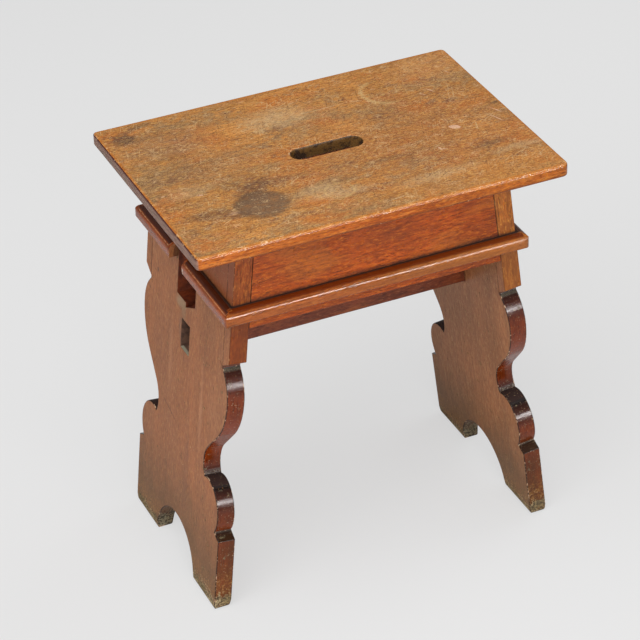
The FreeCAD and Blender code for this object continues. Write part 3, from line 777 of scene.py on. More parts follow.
def seat_finish(tone):
    """Worn matt top with varnish left along its edges, soiling with painted shade in its corners,
    stains, scuffs and scratches.
    """
    coat = wood("seat_wood", 0, tone, 1, 0.5, 1.3, gloss=0.22, ring=34.0, streak=0.42,
                fibre=0.52, pore=0.55)
    x, y = coat.axis("X"), coat.axis("Y")
    broad = coat.noise((8, 15, 15), 4.0, 0.6, (3, 1, 0))
    fine = coat.noise((90, 120, 120), 5.0, 0.7)
    speck = coat.noise((480, 700, 700), 2.0, 0.7)
    stir = (fine - 0.5) * 0.6

    left_front = y.ramp(0.13, -0.1, 0.08) + x.ramp(0.16, -0.12, 0.07)
    coat.lay("8B7252", broad + left_front + stir, 0.5, 0.74, 0.72)
    warm = coat.noise((11, 20, 20), 3.0, 0.6, (7, 4, 0))
    coat.lay("C26C26", warm + stir, 0.5, 0.66, 0.72)
    smoky = coat.noise((14, 34, 34), 4.0, 0.65, (1, 9, 0))
    coat.lay("6A4030", smoky + stir, 0.57, 0.72, 0.72)
    mark(coat, coat.warped(70.0, 0.016), STAINS, fine)

    short = coat.noise((190, 560, 560), 4.0, 0.7, (2, 5, 0))
    coat.lay("DDAA6C", short, 0.53, 0.66, 0.36)
    coat.lay("6A3E22", short, 0.47, 0.34, 0.5)
    dashes = coat.noise((70, 420, 420), 3.0, 0.6, (9, 2, 0))
    coat.lay("6E3C20", dashes, 0.4, 0.3, 0.55)
    fleck(coat, 0, 4, tone, 0.34)
    clusters = coat.noise((26, 30, 30), 3.0, 0.6, (5, 5, 0))
    for turn in SCRATCHES:
        turned = coat.place(turn=(0, 0, math.radians(turn)), move=(turn, 0, 0))
        lines = coat.noise((55, 760, 1), 2.0, 0.5, source=turned)
        coat.lay("DCB682", lines.ramp(0.61, 0.7, 0.6) * clusters.ramp(0.44, 0.64))
        coat.lay("5A3A26", lines, 0.37, 0.29, 0.42)
    mark(coat, coat.warped(70.0, 0.005), ROUND_STAIN, fine)
    stirred = coat.warped(60.0, 0.005)
    for middle, radius, showing, reach in RING_MARKS:
        outer = coat.oval(stirred, *middle, radius * 1.1, radius * 1.1, 0, 0.06)
        inner = coat.oval(stirred, *middle, radius * 0.94, radius * 0.94, 0, 0.08)
        ring = coat.maths("SUBTRACT", outer, inner, clamp=True)
        near = coat.oval(coat.here, *showing, reach, reach, 0, 0.3)
        coat.lay("D2AC72", ring * near * fine.ramp(0.3, 0.6, 0.75, 0.2))
    mark(coat, coat.warped(260.0, 0.0022), NICKS, fine)

    rim_x = abs(x).ramp(SEAT_HIGH.x - 0.006, SEAT_HIGH.x - 0.002)
    rim_y = abs(y).ramp(SEAT_HIGH.y - 0.014, SEAT_HIGH.y - 0.001)
    varnished = ((rim_x | rim_y) + stir).ramp(0.6, 1.05, 0.85)
    coat.lay(coat.mix(fine.ramp(0.3, 0.7), "AC5A18", "D08A3C"), varnished)
    coat.lay("DDB480", fine * 0.65 + speck * 0.4, 0.56, 0.68, 0.6)
    coat.lay("583622", speck, 0.43, 0.3, 0.8)
    coat.rough = varnished.ramp(0.0, 0.85, 0.17, 0.52)
    weather(coat, "2E1F14", "F2CFA0", share=0.22)
    coat.bump(coat.height, 0.45, 0.0005)
    coat.bump(fine, 0.3, 0.0012)
    return coat.finish()


def seat_edge_finish():
    """Glossy orange varnish on the long edges, bare purple grey end grain on the short ones."""
    tone = linear("AC500F")
    coat = wood("seat_edge_wood", 0, tone, 2, 0.5, 1.5, gloss=0.25, ring=60.0, pore=0.55)
    x, y, z = (coat.axis(name) for name in "XYZ")
    mottle = coat.noise(70.0, 4.0, 0.7)
    drawn_out = coat.noise((22, 150, 260), 4.0, 0.65)
    coat.lay("D08238", drawn_out, 0.5, 0.64, 0.75)
    coat.lay("7A360C", drawn_out, 0.48, 0.36, 0.65)
    coat.lay("BC6C24", x, 0.05, -0.2, 0.3)
    coat.lay("BC742C", x, 0.04, 0.16, 0.3)
    fleck(coat, 0, 8, tone, 0.75)
    coat.lay("5C2A0E", z, SEAT_LOW.z + 0.0045, SEAT_LOW.z + 0.0015, 0.7)
    end = abs(coat.facing("X")).ramp(0.55, 0.8)
    end_grain = coat.noise((200, 60, 900), 4.0, 0.7)
    bare = coat.mix(end_grain.ramp(0.35, 0.65), "66493E", "9C7868")
    bare = coat.mix(mottle.ramp(0.5, 0.66, 0.45), bare, "7C7460")
    bare = coat.mix(z.ramp(SEAT_HIGH.z - 0.0042, SEAT_HIGH.z - 0.0022, 0.95), bare, "4E160C")
    coat.lay(bare, end)
    hold = abs(x).ramp(0.062, 0.056) * abs(y).ramp(0.032, 0.026)
    coat.lay(coat.mix(mottle.ramp(0.4, 0.56), "3A2411", "6E4C20"), hold)
    coat.rough = end.ramp(0.0, 1.0, 0.5, 0.16) + hold * 0.35
    weather(coat, "1E120A", "F0C896", chipped=0.5, share=0.25)
    return coat.finish(0.35, 0.0004)


# Marks on the slotted end board's outer face, set out as the seat's are, from its foot's middle.
FACE_MARKS = (
    (0.0165, 0.3405, 0.014, 0.0065, -14, 0.55, "96866A", 0.62),
    (0.0075, 0.331, 0.006, 0.01, 10, 0.6, "7E6E52", 0.5),
    (0.016, 0.31, 0.003, 0.016, 0, 0.6, "7A5C46", 0.5),
    (0.0389, 0.1849, 0.022, 0.0008, 14, 0.5, "3E241A", 0.7),
    (0.0891, 0.3445, 0.0022, 0.003, 0, 0.4, "4A3024", 0.75),
    (0.1097, 0.3106, 0.0026, 0.0016, 30, 0.4, "4A3024", 0.7),
    (-0.055, 0.24, 0.004, 0.05, 0, 0.8, "C58A62", 0.4),
    (0.04, 0.26, 0.005, 0.045, 0, 0.8, "C08258", 0.4),
    (-0.02, 0.13, 0.006, 0.055, 0, 0.8, "7C4E36", 0.4),
    (0.07, 0.245, 0.0035, 0.04, 0, 0.8, "7C4E36", 0.4),
)
NAIL_HOLE = (-0.1745, 0.0625, 0.3945)
# The right end board's faces are tinted lighter and greyer than the left one's: painted light on
# its shaded inner face, as shares of the red, green and blue of the other one.
RIGHT_BOARD_LIGHT_TINT = (1.04, 1.18, 1.34)


def board_finish(name, tone, seed, lean, marks=()):
    """Satin upright faces, streaked, scuffed pale and soiled at the feet."""
    coat = wood(name, 2, tone, seed, 0.62, 1.28, gloss=0.18, lean=lean, ring=30.0, streak=0.38,
                fibre=0.34, pore=0.36)
    h = coat.up_the_board()
    patch = coat.noise(34.0)
    grit = coat.noise(420.0, 4.0, 0.7)
    faded = coat.noise((7, 7, 4), 3.0, 0.55, (seed, 2, 1))
    coat.lay("9C6A48", faded, 0.45, 0.7, 0.45)
    broad = coat.noise((60, 60, 4), 3.0, 0.6, (seed, 7, 3))
    coat.lay(shade(tone, 0.62), broad, 0.54, 0.72, 0.32)
    coat.lay(shade(tone, 1.35), broad, 0.46, 0.3, 0.25)
    fleck(coat, 2, seed, tone, 0.46)
    drawn = coat.make("ShaderNodeCombineXYZ", {"X": coat.axis("Y"), "Y": h})
    mark(coat, coat.warped(160.0, 0.004, drawn), marks, patch)
    # above the bead moulding, under the seat, the face is painted red brown: the warm colour of the
    # painted shade there
    low, high = MOULDING_HIGH.z - 0.004, MOULDING_HIGH.z + 0.004
    coat.lay("8E3E1C", coat.axis("Z").ramp(low, high, 0.5))
    soiled = soil(coat, h, patch, grit, 0.024, 0.72)
    coat.lay("C08A5C", coat.noise(620.0, 2.0, 0.6).ramp(0.68, 0.75, 0.5))
    nail = coat.vectors("DISTANCE", {0: coat.object, 1: NAIL_HOLE}, "Value")
    coat.lay("1C0F0A", nail, 0.0022, 0.0013)
    coat.rough = soiled * 0.3 + 0.44
    weather(coat, "3A2014", "D0A078", line="40200F", chipped=0.75, share=0.22, fill=0.7)
    return coat.finish(0.3)


def edge_finish(name, tone, seed, lean):
    """Dark glossy shaped edges of the end boards: darker on their tops, lighter where they face
    down as painted bounce light, dusty in the notches with a painted sheen in the middle one.
    """
    coat = wood(name, 2, tone, seed, 0.45, 1.6, gloss=0.27, lean=lean, ring=60.0)
    h, up, half = coat.up_the_board(), coat.facing("Z"), abs(coat.axis("Y"))
    patch = coat.noise(34.0)
    grit = coat.noise(420.0, 4.0, 0.7)
    grain = coat.noise(900.0, 3.0, 0.7)
    fleck(coat, 2, seed, tone, 0.35)
    coat.lay(shade(tone, 0.5), patch, 0.48, 0.66, 0.45)
    # the colour darkens the more the edge faces up
    coat.lay("3C1C16", up, 0.0, 0.4, 0.8)
    coat.lay("261510", up, 0.45, 0.8, 0.88)
    # where the edge faces down it is painted lighter: painted bounce light from the floor
    coat.lay(shade(tone, 1.8), up, -0.1, -0.45, 0.35)

    (low_half, low), (mid_half, mid), high = LOW_NOTCH, MID_NOTCH, HIGH_NOTCH[1]
    speckled = grain.ramp(0.44, 0.58, 1.0, 0.3)
    # the grey speckled band above the middle notch is dust and a painted sheen, the real highlight
    # there dulled by roughness
    mid_dust_and_sheen = h.band(mid - 0.0005, mid + 0.0035, 0.002) * speckled * up.ramp(0.8, 0.65)
    high_dust = (h.ramp(high - 0.0045, high - 0.002)
                 * half.ramp(CORE_HALF - 0.001, CORE_HALF + 0.001) * speckled)
    low_dust = (half.ramp(low_half + 0.0016, low_half + 0.0004)
                * h.band(low - 0.002, low + 0.0015, 0.001) * speckled)
    # the crease under the middle notch is painted near black: painted shade
    crease_shade = half.ramp(mid_half - 0.004, mid_half) * h.band(mid - 0.0035, mid - 0.0015, 0.001)
    coat.lay(coat.mix(grit.ramp(0.5, 0.6), "4A443C", "8E8A82"), mid_dust_and_sheen * 0.85)
    coat.lay("6E6A58", high_dust * 0.75)
    coat.lay("A0917E", low_dust * 0.7)
    coat.lay("140B08", crease_shade * 0.8)

    arch = half.ramp(0.061, 0.058) * h.ramp(0.09, 0.075)
    soiled = soil(coat, h, patch, grit, 0.032, 0.42)
    damp = coat.mix(grit.ramp(0.4, 0.62), "2A251C", "6A6452")
    coat.lay(damp, arch * patch.ramp(0.4, 0.55, 0.75, 0.5))
    coat.lay("B9814F", coat.noise(520.0, 2.0, 0.6).ramp(0.68, 0.74, 0.6))
    notched = h.band(mid - 0.001, mid + 0.004, 0.002)
    covered = soiled | arch * 0.6 | mid_dust_and_sheen | high_dust | notched
    streaky = coat.noise((30, 700, 500), 3.0, 0.6)
    coat.rough = streaky.ramp(0.35, 0.65, 0.27, 0.09) + covered * 0.6
    weather(coat, "160B07", "D2AE8C", line="1A0C08", chipped=0.8, share=0.38, fill=0.5)
    hollow(coat, h, half, up)
    coat.bump(coat.height, 0.25, 0.0003)
    coat.bump(grain, 0.18, 0.0003)
    return coat.finish()


def hollow(coat, h, half, up):
    """Dull insides of the slot and the mortise, painted dark: raw and stained wood with painted
    shade in the holes, the mortise's floor painted pale at its opening, for wear and painted light.
    """
    inside = half.ramp(0.045, 0.035) * h.ramp(0.22, 0.25)
    patch = coat.noise(110.0, 3.0, 0.6).ramp(0.35, 0.65)
    # the floor at the mortise's opening is painted pale: painted light falling on it, and wear
    mouth = up.ramp(0.5, 0.8) * coat.out_of_the_board().ramp(-0.005, -0.003)
    mortise = coat.mix(mouth, coat.mix(patch, "4C382E", "6E5040"), "9C9680")
    slot = coat.mix(patch, "4E1E0C", "743214")
    coat.lay(coat.mix(h.ramp(0.325, 0.335), mortise, slot), inside)
    coat.rough = coat.rough + inside * 0.4


def soil(coat, h, patch, grit, reach, share):
    """Darkens a board towards the floor, then greys it and bares it in speckles, up to reach."""
    coat.lay("523C18", h - patch * 0.1, 0.11, -0.05, share)
    coat.lay("A06C30", grit.ramp(0.46, 0.6) * h.ramp(2.2 * reach, 0.6 * reach, 0.65))
    spots = coat.noise(130.0, 4.0, 0.7)
    mossy = (spots + h.ramp(0.95 * reach, 0.35 * reach, 0.24)).ramp(0.6, 0.72, 0.8)
    coat.lay(coat.mix(grit.ramp(0.42, 0.6), "443C28", "857A58"), mossy)
    scuffed = (grit + h.ramp(1.2 * reach, 0.2 * reach, 0.16)).ramp(0.62, 0.7, 0.85)
    coat.lay(coat.mix(patch.ramp(0.4, 0.6), "8A744C", "C2AC84"), scuffed)
    return scuffed | mossy


def varnished_finish(name, along, tone, seed, worn, rough, lean=0.0, low=None):
    """Glossy orange brown varnish over open grained wood. It is darker below the height low: a
    darker tone there, with painted shade under the bead moulding.
    """
    coat = wood(name, along, tone, seed, 0.42, 1.5, gloss=0.24, lean=lean, fibre=0.55, pore=0.85)
    mottle = coat.noise(26.0)
    coat.lay(shade(tone, 0.62), mottle, 0.42, 0.7, 0.45)
    broad = coat.noise((11, 11, 26), 3.0, 0.6, (seed, 8, 2))
    coat.lay("AE6626", broad, 0.52, 0.7, 0.4)
    coat.lay("7C3812", broad, 0.48, 0.32, 0.5)
    fleck(coat, along, seed, tone, 0.62)
    coat.rough = mottle.ramp(0.3, 0.7, rough + 0.12, rough)
    # below the bead moulding: a darker tone and painted shade
    if low:
        coat.lay(shade(tone, 0.45), coat.axis("Z").ramp(low + 0.004, low - 0.004, 0.55))
    weather(coat, "241611", worn, line=shade(tone, 0.4), share=0.35)
    return coat.finish(0.3)


def moulding_finish(name, along, tone, seed, crown_dirt_and_shade, outward, rubbed, lean=0.0):
    """Bead: dark against the frieze and on its top, with soiling and painted shade, a rubbed line
    below it and a bright nose, painted darker where it faces down.

    outward gives the distance out from the frieze, rubbed is the strength of the line.
    """
    coat = wood(name, along, tone, seed, 0.42, 1.5, gloss=0.3, lean=lean, fibre=0.55, pore=0.75)
    up, x = coat.facing("Z"), coat.axis("X")
    mottle = coat.noise(26.0)
    fine = coat.noise(240.0, 4.0, 0.7)
    coat.lay(shade(tone, 0.62), mottle, 0.42, 0.7, 0.45)
    coat.lay("B46E2A", x, -0.1, 0.17, 0.5)
    fleck(coat, along, seed, tone, 0.45)
    stirred = up + fine * 0.06
    # the dark top of the bead: soiling and painted shade under the seat
    coat.lay(crown_dirt_and_shade, stirred, 0.64, 0.82, 0.88)
    coat.lay("CC9468", stirred.band(0.6, 0.66, 0.03) * fine.ramp(0.38, 0.58, rubbed))
    # the bead is painted darker where it faces down: painted shade on its underside
    coat.lay(shade(tone, 0.5), up, 0.25, -0.3, 0.5)
    # a dark band against the frieze: soiling and painted shade in the crease
    frieze_dirt_and_shade = (outward(coat) + fine * 0.0015).ramp(0.0048, 0.0026, 0.92)
    coat.lay("2A211C", frieze_dirt_and_shade)
    coat.rough = ((mottle + fine * 0.5).ramp(0.5, 0.95, 0.15, 0.06)
                  + x.ramp(-0.04, 0.22, 0.16) + frieze_dirt_and_shade * 0.5)
    weather(coat, "241611", "DCC0A6", line=None if rubbed > 0.5 else shade(tone, 0.4),
            chipped=rubbed, share=0.62, fill=0.5)
    return coat.finish(0.3)


def out_from_rail(coat):
    return abs(coat.axis("Y")) - FRAME_HALF


def bare_finish():
    """Unpolished softwood of the battens and blocks, darkened with age."""
    coat = wood("bare_softwood", 1, linear("A07C50"), 7, 0.6, 1.2, gloss=0.2, ring=90.0, pore=0.2)
    coat.rough = 0.75
    return coat.finish(0.4)


def steel_finish():
    """Dull screws and brads with rust in places."""
    coat = Coat("dull_steel")
    coat.shader.inputs["Metallic"].default_value = 1.0
    rust = coat.noise(400.0)
    coat.colour = coat.mix(rust.ramp(0.4, 0.7), "8C8A86", "6B4A33")
    coat.rough = rust.ramp(0.2, 0.8, 0.8, 0.35)
    return coat.finish()


# ------------ settings

class StoolColours(bpy.types.PropertyGroup):
    seat: FloatVectorProperty(
        name="Seat", description="Worn golden brown of the seat's top",
        subtype="COLOR", size=3, min=0, max=1, default=linear("CC8844"))
    boards: FloatVectorProperty(
        name="End boards", description="Satin brown of the end boards' faces",
        subtype="COLOR", size=3, min=0, max=1, default=linear("A06036"))
    edges: FloatVectorProperty(
        name="Shaped edges", description="Dark red brown of the end boards' edges",
        subtype="COLOR", size=3, min=0, max=1, default=linear("762E0A"))
    rails: FloatVectorProperty(
        name="Rails", description="Orange brown varnish of the rails",
        subtype="COLOR", size=3, min=0, max=1, default=linear("A8480C"))
    strips: FloatVectorProperty(
        name="Corner strips", description="Brown varnish of the corner strips",
        subtype="COLOR", size=3, min=0, max=1, default=linear("94430F"))
    mouldings: FloatVectorProperty(
        name="Mouldings", description="Orange brown varnish of the bead moulding",
        subtype="COLOR", size=3, min=0, max=1, default=linear("A0521E"))


class StoolSizes(bpy.types.PropertyGroup):
    seat_rounding: FloatProperty(
        name="Seat rounding", description="Radius of the seat's worn long edges",
        default=0.0045, min=0.001, max=0.0048, unit="LENGTH")
    board_rounding: FloatProperty(
        name="Board rounding", description="Width of the worn arrises of the end boards",
        default=0.0012, min=0.0005, max=0.004, unit="LENGTH")


# ------------ operators

class STOOL_OT_seat(bpy.types.Operator):
    """Builds the seat with its hand hold"""

    bl_idname = "stool.seat"
    bl_label = "Seat"

    def execute(self, context):
        radius = context.scene.stool_sizes.seat_rounding
        seat = block("seat", SEAT_LOW, SEAT_HIGH)
        for end, side, corner in SEAT_CORNERS:
            round_edges(seat, corner, 6, lambda a, b, end=end, side=side: upright(a, b)
                        and a.x * end > SEAT_HIGH.x - NEAR and a.y * side > SEAT_HIGH.y - NEAR)
        hold = block("hold", (-HOLD_LENGTH / 2, HOLD_Y - HOLD_WIDTH / 2, SEAT_LOW.z - PAST),
                     (HOLD_LENGTH / 2, HOLD_Y + HOLD_WIDTH / 2, SEAT_HIGH.z + PAST))
        round_edges(hold, HOLD_WIDTH / 2 - 1e-5, 14, upright)
        cut(seat, hold)

        def width(middle, one, two):
            if min(abs(one.z), abs(two.z)) > 0.5 or max(abs(one.z), abs(two.z)) < 0.9:
                return 0
            above = middle.z > SEAT_LOW.z + 0.005
            if math.hypot(middle.x, middle.y) < HOLD_LENGTH:
                return SEAT_ARRIS if above else HOLD_UNDER_ARRIS
            front = max(-one.y, -two.y, 0)
            return SEAT_ARRIS + (radius - SEAT_ARRIS) * front * above

        soften(seat, width, 6)
        divide(seat, CUTS, 0, 1)
        wear_down(seat, 0.05)
        for vertex in seat.data.vertices:
            vertex.co.z = min(max(vertex.co.z, SEAT_LOW.z), SEAT_HIGH.z - 0.00002)
        mount(seat, "seat_wood", seat_finish(context.scene.stool_colours.seat), "seat_board",
              second=seat_edge_finish(), on_second=lambda face: face.normal.z < 0.62)
        return {"FINISHED"}


def tread(board, side):
    """Wears the feet in all round, the more the nearer to the floor."""
    inside, half_foot = (ARCH_RADIUS + FOOT[0]) / 2, (FOOT[0] - ARCH_RADIUS) / 2
    for vertex in board.data.vertices:
        x, y, z = vertex.co
        if z > TREAD_HEIGHT:
            continue
        worn = TREAD_WEAR * (1 - max(z, 0) / TREAD_HEIGHT) ** 2
        half = (abs(y) - inside) / half_foot
        vertex.co.y -= math.copysign(worn * max(min(half, 1), -1) * abs(half) ** 3, y)
        middle = side * (face_x(z) + face_x(z, BOARD)) / 2
        vertex.co.x += (middle - x) * worn / (BOARD / 2)


def slot_cutter():
    """The open slot's blank, its floor stepped and ramped up to the front."""
    low_x, high_x = -face_x(SLOT_STEP) - PAST, -face_x(SEAT_UNDERSIDE, BOARD) + PAST
    cutter = block("slot", (low_x, SLOT_FRONT, SLOT_STEP - PAST),
                   (high_x, SLOT_REAR, SEAT_UNDERSIDE + PAST))
    shelf = block("shelf", (low_x - PAST, SLOT_STEP_Y, SLOT_STEP - 2 * PAST),
                  (high_x + PAST, SLOT_REAR + PAST, SLOT_FLOOR))
    cut(cutter, shelf)
    slope = Vector((0, -SLOT_RAMP_RISE, SLOT_FRONT - SLOT_STEP_Y)).normalized()
    trim(cutter, (0, SLOT_STEP_Y, SLOT_STEP), slope)
    return cutter


class STOOL_OT_end_boards(bpy.types.Operator):
    """Builds the two splayed end boards with their scalloped edges"""

    bl_idname = "stool.end_boards"
    bl_label = "End boards"

    def execute(self, context):
        rounding = context.scene.stool_sizes.board_rounding
        colours = context.scene.stool_colours
        left = drawn_board("left_end_board", SEAT_UNDERSIDE / math.cos(SPLAY) + PAST)
        lean(left)
        trim(left, (0, 0, 0), (0, 0, -1))
        trim(left, (0, 0, SEAT_UNDERSIDE), (0, 0, 1))
        right = mirrored(left, "right_end_board", 0)
        low, high = STRETCHER_LOW, STRETCHER_HIGH
        cut(left, block("mortise", (-MORTISE_FAR, low.y, low.z), (-MORTISE_NEAR, high.y, high.z)))
        cut(left, slot_cutter())
        blind = block("mortise", (MORTISE_NEAR, low.y, low.z), (MORTISE_FAR, high.y, high.z))
        trim(blind, (face_x(low.z, BOARD / 2), 0, low.z), board_normal(1))
        cut(right, blind)
        # both boards' edges take a share of the edge tone; the right one's smaller share is painted
        # shade, and its faces' tint painted light
        left_look = (colours.boards, 0.92, FACE_MARKS)
        right_look = ([c * share for c, share in zip(colours.boards, RIGHT_BOARD_LIGHT_TINT)], 0.76, ())
        for board, side, node, (tone, darker, marks) in (
                (left, -1, "left_leg_board", left_look),
                (right, 1, "right_leg_board", right_look)):
            across = board_normal(side)

            def width(middle, one, two, across=across):
                if under_seat(middle):
                    return 0
                if abs(middle.y) < 0.04 and middle.z > 0.25:
                    return MOUTH_ARRIS
                if abs(middle.y) > CORE_HALF - NEAR and middle.z > STRIP_LOW.z - 0.0005:
                    return BOARD_HIDDEN_ARRIS
                if middle.z < 0.001:
                    return FOOT_ARRIS
                on_face = max(abs(one.dot(across)), abs(two.dot(across))) > 0.9
                return rounding if on_face else BOARD_INNER_ARRIS

            soften(board, width)
            divide(board, CUTS, 1, 2)
            tread(board, side)
            wear_down(board, 0.06)
            mount(board, "leg_wood", board_finish(board.name, tone, 2 + side, side * SPLAY, marks),
                  node, second=edge_finish(board.name + "_edge", shade(colours.edges, darker),
                                           5 + side, side * SPLAY),
                  on_second=lambda face, across=across: not on_flat(face, across))
        return {"FINISHED"}


class STOOL_OT_corner_strips(bpy.types.Operator):
    """Builds the four corner strips"""

    bl_idname = "stool.corner_strips"
    bl_label = "Corner strips"

    def execute(self, context):
        strip = block("left_rear_strip", (0, CORE_HALF, STRIP_FOOT),
                      (BOARD, FRAME_HALF, SEAT_UNDERSIDE + PAST))
        trim(strip, (0, CORE_HALF, STRIP_FOOT),
             Vector((0, STRIP_BEVEL, CORE_HALF - FRAME_HALF)).normalized())
        lean(strip)
        trim(strip, (0, 0, SEAT_UNDERSIDE), (0, 0, 1))

        def width(middle, one, two):
            if under_seat(middle):
                return 0
            return STRIP_ARRIS if middle.y > FRAME_HALF - NEAR else STRIP_HIDDEN_ARRIS

        soften(strip, width)
        divide(strip, CUTS, 2, 1)
        wear_down(strip, 0.05)
        front = mirrored(strip, "left_front_strip", 1)
        pairs = {-1: [strip, front], 1: [mirrored(strip, "right_rear_strip", 0),
                                         mirrored(front, "right_front_strip", 0)]}
        colours, worn = context.scene.stool_colours, "C08A58"
        for end, side, tone in (("left", -1, colours.strips), ("right", 1, linear("B26424"))):
            across = board_normal(side)
            varnished = varnished_finish(end + "_strip_wood", 2, tone, 5 + side, worn, 0.24,
                                         side * SPLAY, low=MOULDING_LOW.z)
            face_finish = board_finish(end + "_strip_face", colours.boards, 11 + side,
                                       side * SPLAY)
            for place, piece in zip(("rear", "front"), pairs[side]):
                mount(piece, "strip_wood", varnished, f"{end}_{place}_corner_strip",
                      second=face_finish,
                      on_second=lambda face, across=across: on_flat(face, across))
        return {"FINISHED"}


def bar_between_boards(name, low, high, depth):
    """Bar along the stool whose ends meet the plane that is depth inside the end boards."""
    end = face_x(low.z, depth)
    bar = block(name, (-end - PAST, low.y, low.z), (end + PAST, high.y, high.z))
    for side in (-1, 1):
        trim(bar, (side * end, 0, low.z), board_normal(side))
    return bar


class STOOL_OT_rails(bpy.types.Operator):
    """Builds the two rails of the frieze"""

    bl_idname = "stool.rails"
    bl_label = "Rails"

    def execute(self, context):
        top = Vector((0, -CORE_HALF, SEAT_UNDERSIDE))
        front = bar_between_boards("front_rail_board", FRONT_RAIL_LOW, top, BOARD)
        soften(front, lambda middle, *_: 0 if under_seat(middle) else RAIL_ARRIS)
        divide(front, LONG_CUTS, 0, 2)
        wear_down(front, 0.06)
        rear = mirrored(front, "rear_rail_board", 1)
        finish = varnished_finish("rail_wood", 0, context.scene.stool_colours.rails, 6,
                                  "B9733A", 0.22)
        mount(front, "rail_wood", finish, "front_rail")
        mount(rear, "rail_wood", finish, "rear_rail")
        return {"FINISHED"}


class STOOL_OT_stretcher(bpy.types.Operator):
    """Builds the stretcher between the end boards"""

    bl_idname = "stool.stretcher"
    bl_label = "Stretcher"

    def execute(self, context):
        bar = bar_between_boards("stretcher_bar", STRETCHER_LOW, STRETCHER_HIGH, BOARD / 2)
        soften(bar, lambda middle, *_: STRETCHER_LOW_ARRIS if middle.z < STRETCHER_LOW.z + 0.001
               else STRETCHER_HIGH_ARRIS)
        divide(bar, BAR_CUTS, 0)
        wear_down(bar, 0.05)
        finish = varnished_finish("stretcher_wood", 0, linear("77361C"), 8, "9A5F38", 0.35)
        mount(bar, "stretcher_wood", finish, "stretcher")
        return {"FINISHED"}


def blunt(piece, end, side, radius):
    """Rounds a mitred corner of the moulding in plan."""
    middle = Vector((end * (face_x(MOULDING_MIDDLE) + MOULDING_PROJECTION - radius),
                     side * (FRAME_HALF + MOULDING_PROJECTION - radius), 0))
    for turn in (15, 30, 45, 60, 75):
        out = Vector((end * math.sin(math.radians(turn)), side * math.cos(math.radians(turn)), 0))
        trim(piece, middle + out * radius, out)


def moulding_bar(name, reach, back):
    """Length of bead moulding along X, its nose towards -Y."""
    bar = block(name, (-reach, -MOULDING_PROJECTION, MOULDING_LOW.z),
                (reach, back, MOULDING_HIGH.z))

    def on_nose(a, b):
        return max(a.y, b.y) < NEAR - MOULDING_PROJECTION

    round_edges(bar, BEAD_RADIUS, 10,
                lambda a, b: on_nose(a, b) and min(a.z, b.z) > MOULDING_MIDDLE)
    round_edges(bar, BEAD_ARRIS, 3,
                lambda a, b: on_nose(a, b) and max(a.z, b.z) < MOULDING_LOW.z + NEAR, ARRIS)
    return bar


class STOOL_OT_mouldings(bpy.types.Operator):
    """Builds the bead moulding: two long pieces, the right return and the two left pieces"""

    bl_idname = "stool.mouldings"
    bl_label = "Mouldings"

    def execute(self, context):
        corner_x = face_x(MOULDING_MIDDLE)
        front = moulding_bar("front_bead", corner_x + MOULDING_PROJECTION, 0)
        settle(front, (0, -FRAME_HALF, 0))
        for side in (-1, 1):
            trim(front, (side * corner_x, -FRAME_HALF, 0), Vector((side, 1, 0)).normalized())
        blunt(front, -1, -1, LEFT_MITRE)
        blunt(front, 1, -1, FRONT_MITRE)
        divide(front, LONG_CUTS, 0)
        wear_down(front, 0.04)
        rear = mirrored(front, "rear_bead", 1)

        right = moulding_bar("right_bead", FRAME_HALF + MOULDING_PROJECTION, PAST)
        settle(right, (corner_x, 0, 0), (0, 0, math.pi / 2))
        for side in (-1, 1):
            trim(right, (corner_x, side * FRAME_HALF, 0), Vector((-1, side, 0)).normalized())
        trim(right, (corner_x, 0, MOULDING_MIDDLE), -board_normal(1))
        divide(right, LONG_CUTS, 1)
        left = mirrored(right, "left_front_bead", 0)
        left_rear = mirrored(left, "left_rear_bead", 1)
        trim(left, (0, GAP_FRONT, 0), (0, 1, 0))
        nose = -corner_x - MOULDING_PROJECTION
        round_edges(left, GAP_END_RADIUS, 5,
                    lambda a, b: abs(a.y - b.y) < 1e-5 and abs(a.z - b.z) > 0.002
                    and min(a.y, b.y) > GAP_FRONT - NEAR and max(a.x, b.x) < nose + NEAR, ARRIS)
        trim(left_rear, (0, GAP_REAR, 0), (0, -1, 0))
        for piece, end, side, radius in ((right, 1, -1, FRONT_MITRE), (right, 1, 1, REAR_MITRE),
                                         (left, -1, -1, LEFT_MITRE),
                                         (left_rear, -1, 1, LEFT_MITRE)):
            blunt(piece, end, side, radius)
        for piece in (right, left, left_rear):
            wear_down(piece, 0.04)
        colours = context.scene.stool_colours
        # the fifth arguments are the tones of the beads' dark tops: soiling and painted shade
        long_finish = moulding_finish("long_moulding_wood", 0, colours.mouldings, 9,
                                      "642408", out_from_rail, 0.12)
        ends = {side: moulding_finish("end_moulding_wood", 1, linear("9E4A1C"), 10,
                                      "3E1A10", Coat.out_of_the_board, 0.75, side * SPLAY)
                for side in (-1, 1)}
        end_grain = board_finish("moulding_end", colours.boards, 14, -SPLAY)
        for piece, node, finish in ((front, "front_moulding", long_finish),
                                    (rear, "rear_moulding", long_finish),
                                    (right, "right_moulding", ends[1]),
                                    (left, "left_front_moulding", ends[-1])):
            mount(piece, "moulding_wood", finish, node)
        mount(left_rear, "moulding_wood", ends[-1], "left_rear_moulding", second=end_grain,
              on_second=lambda face: face.normal.y < -0.9)
        return {"FINISHED"}


class STOOL_OT_inside(bpy.types.Operator):
    """Finishes the battens, blocks, tongues and fixings that the frame brings"""

    bl_idname = "stool.inside"
    bl_label = "Inside"

    def execute(self, context):
        bare, steel = bare_finish(), steel_finish()
        for name, node in frame["nodes"].items():
            if not node.hide_render:
                node.data.materials.clear()
                node.data.materials.append(steel if name.endswith(("screws", "brads")) else bare)
        return {"FINISHED"}


class STOOL_OT_age(bpy.types.Operator):
    """Works out how sheltered each point is and which way the surfaces face, for soiling and
    painted light and shade
    """

    bl_idname = "stool.age"
    bl_label = "Age"

    def execute(self, context):
        shown = [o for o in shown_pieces() if o.type == "MESH"]
        tree, rays = whole_stool(shown), hemisphere(RAYS)
        for piece in shown:
            if "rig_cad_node" not in piece:
                age(piece, tree, rays)
        return {"FINISHED"}


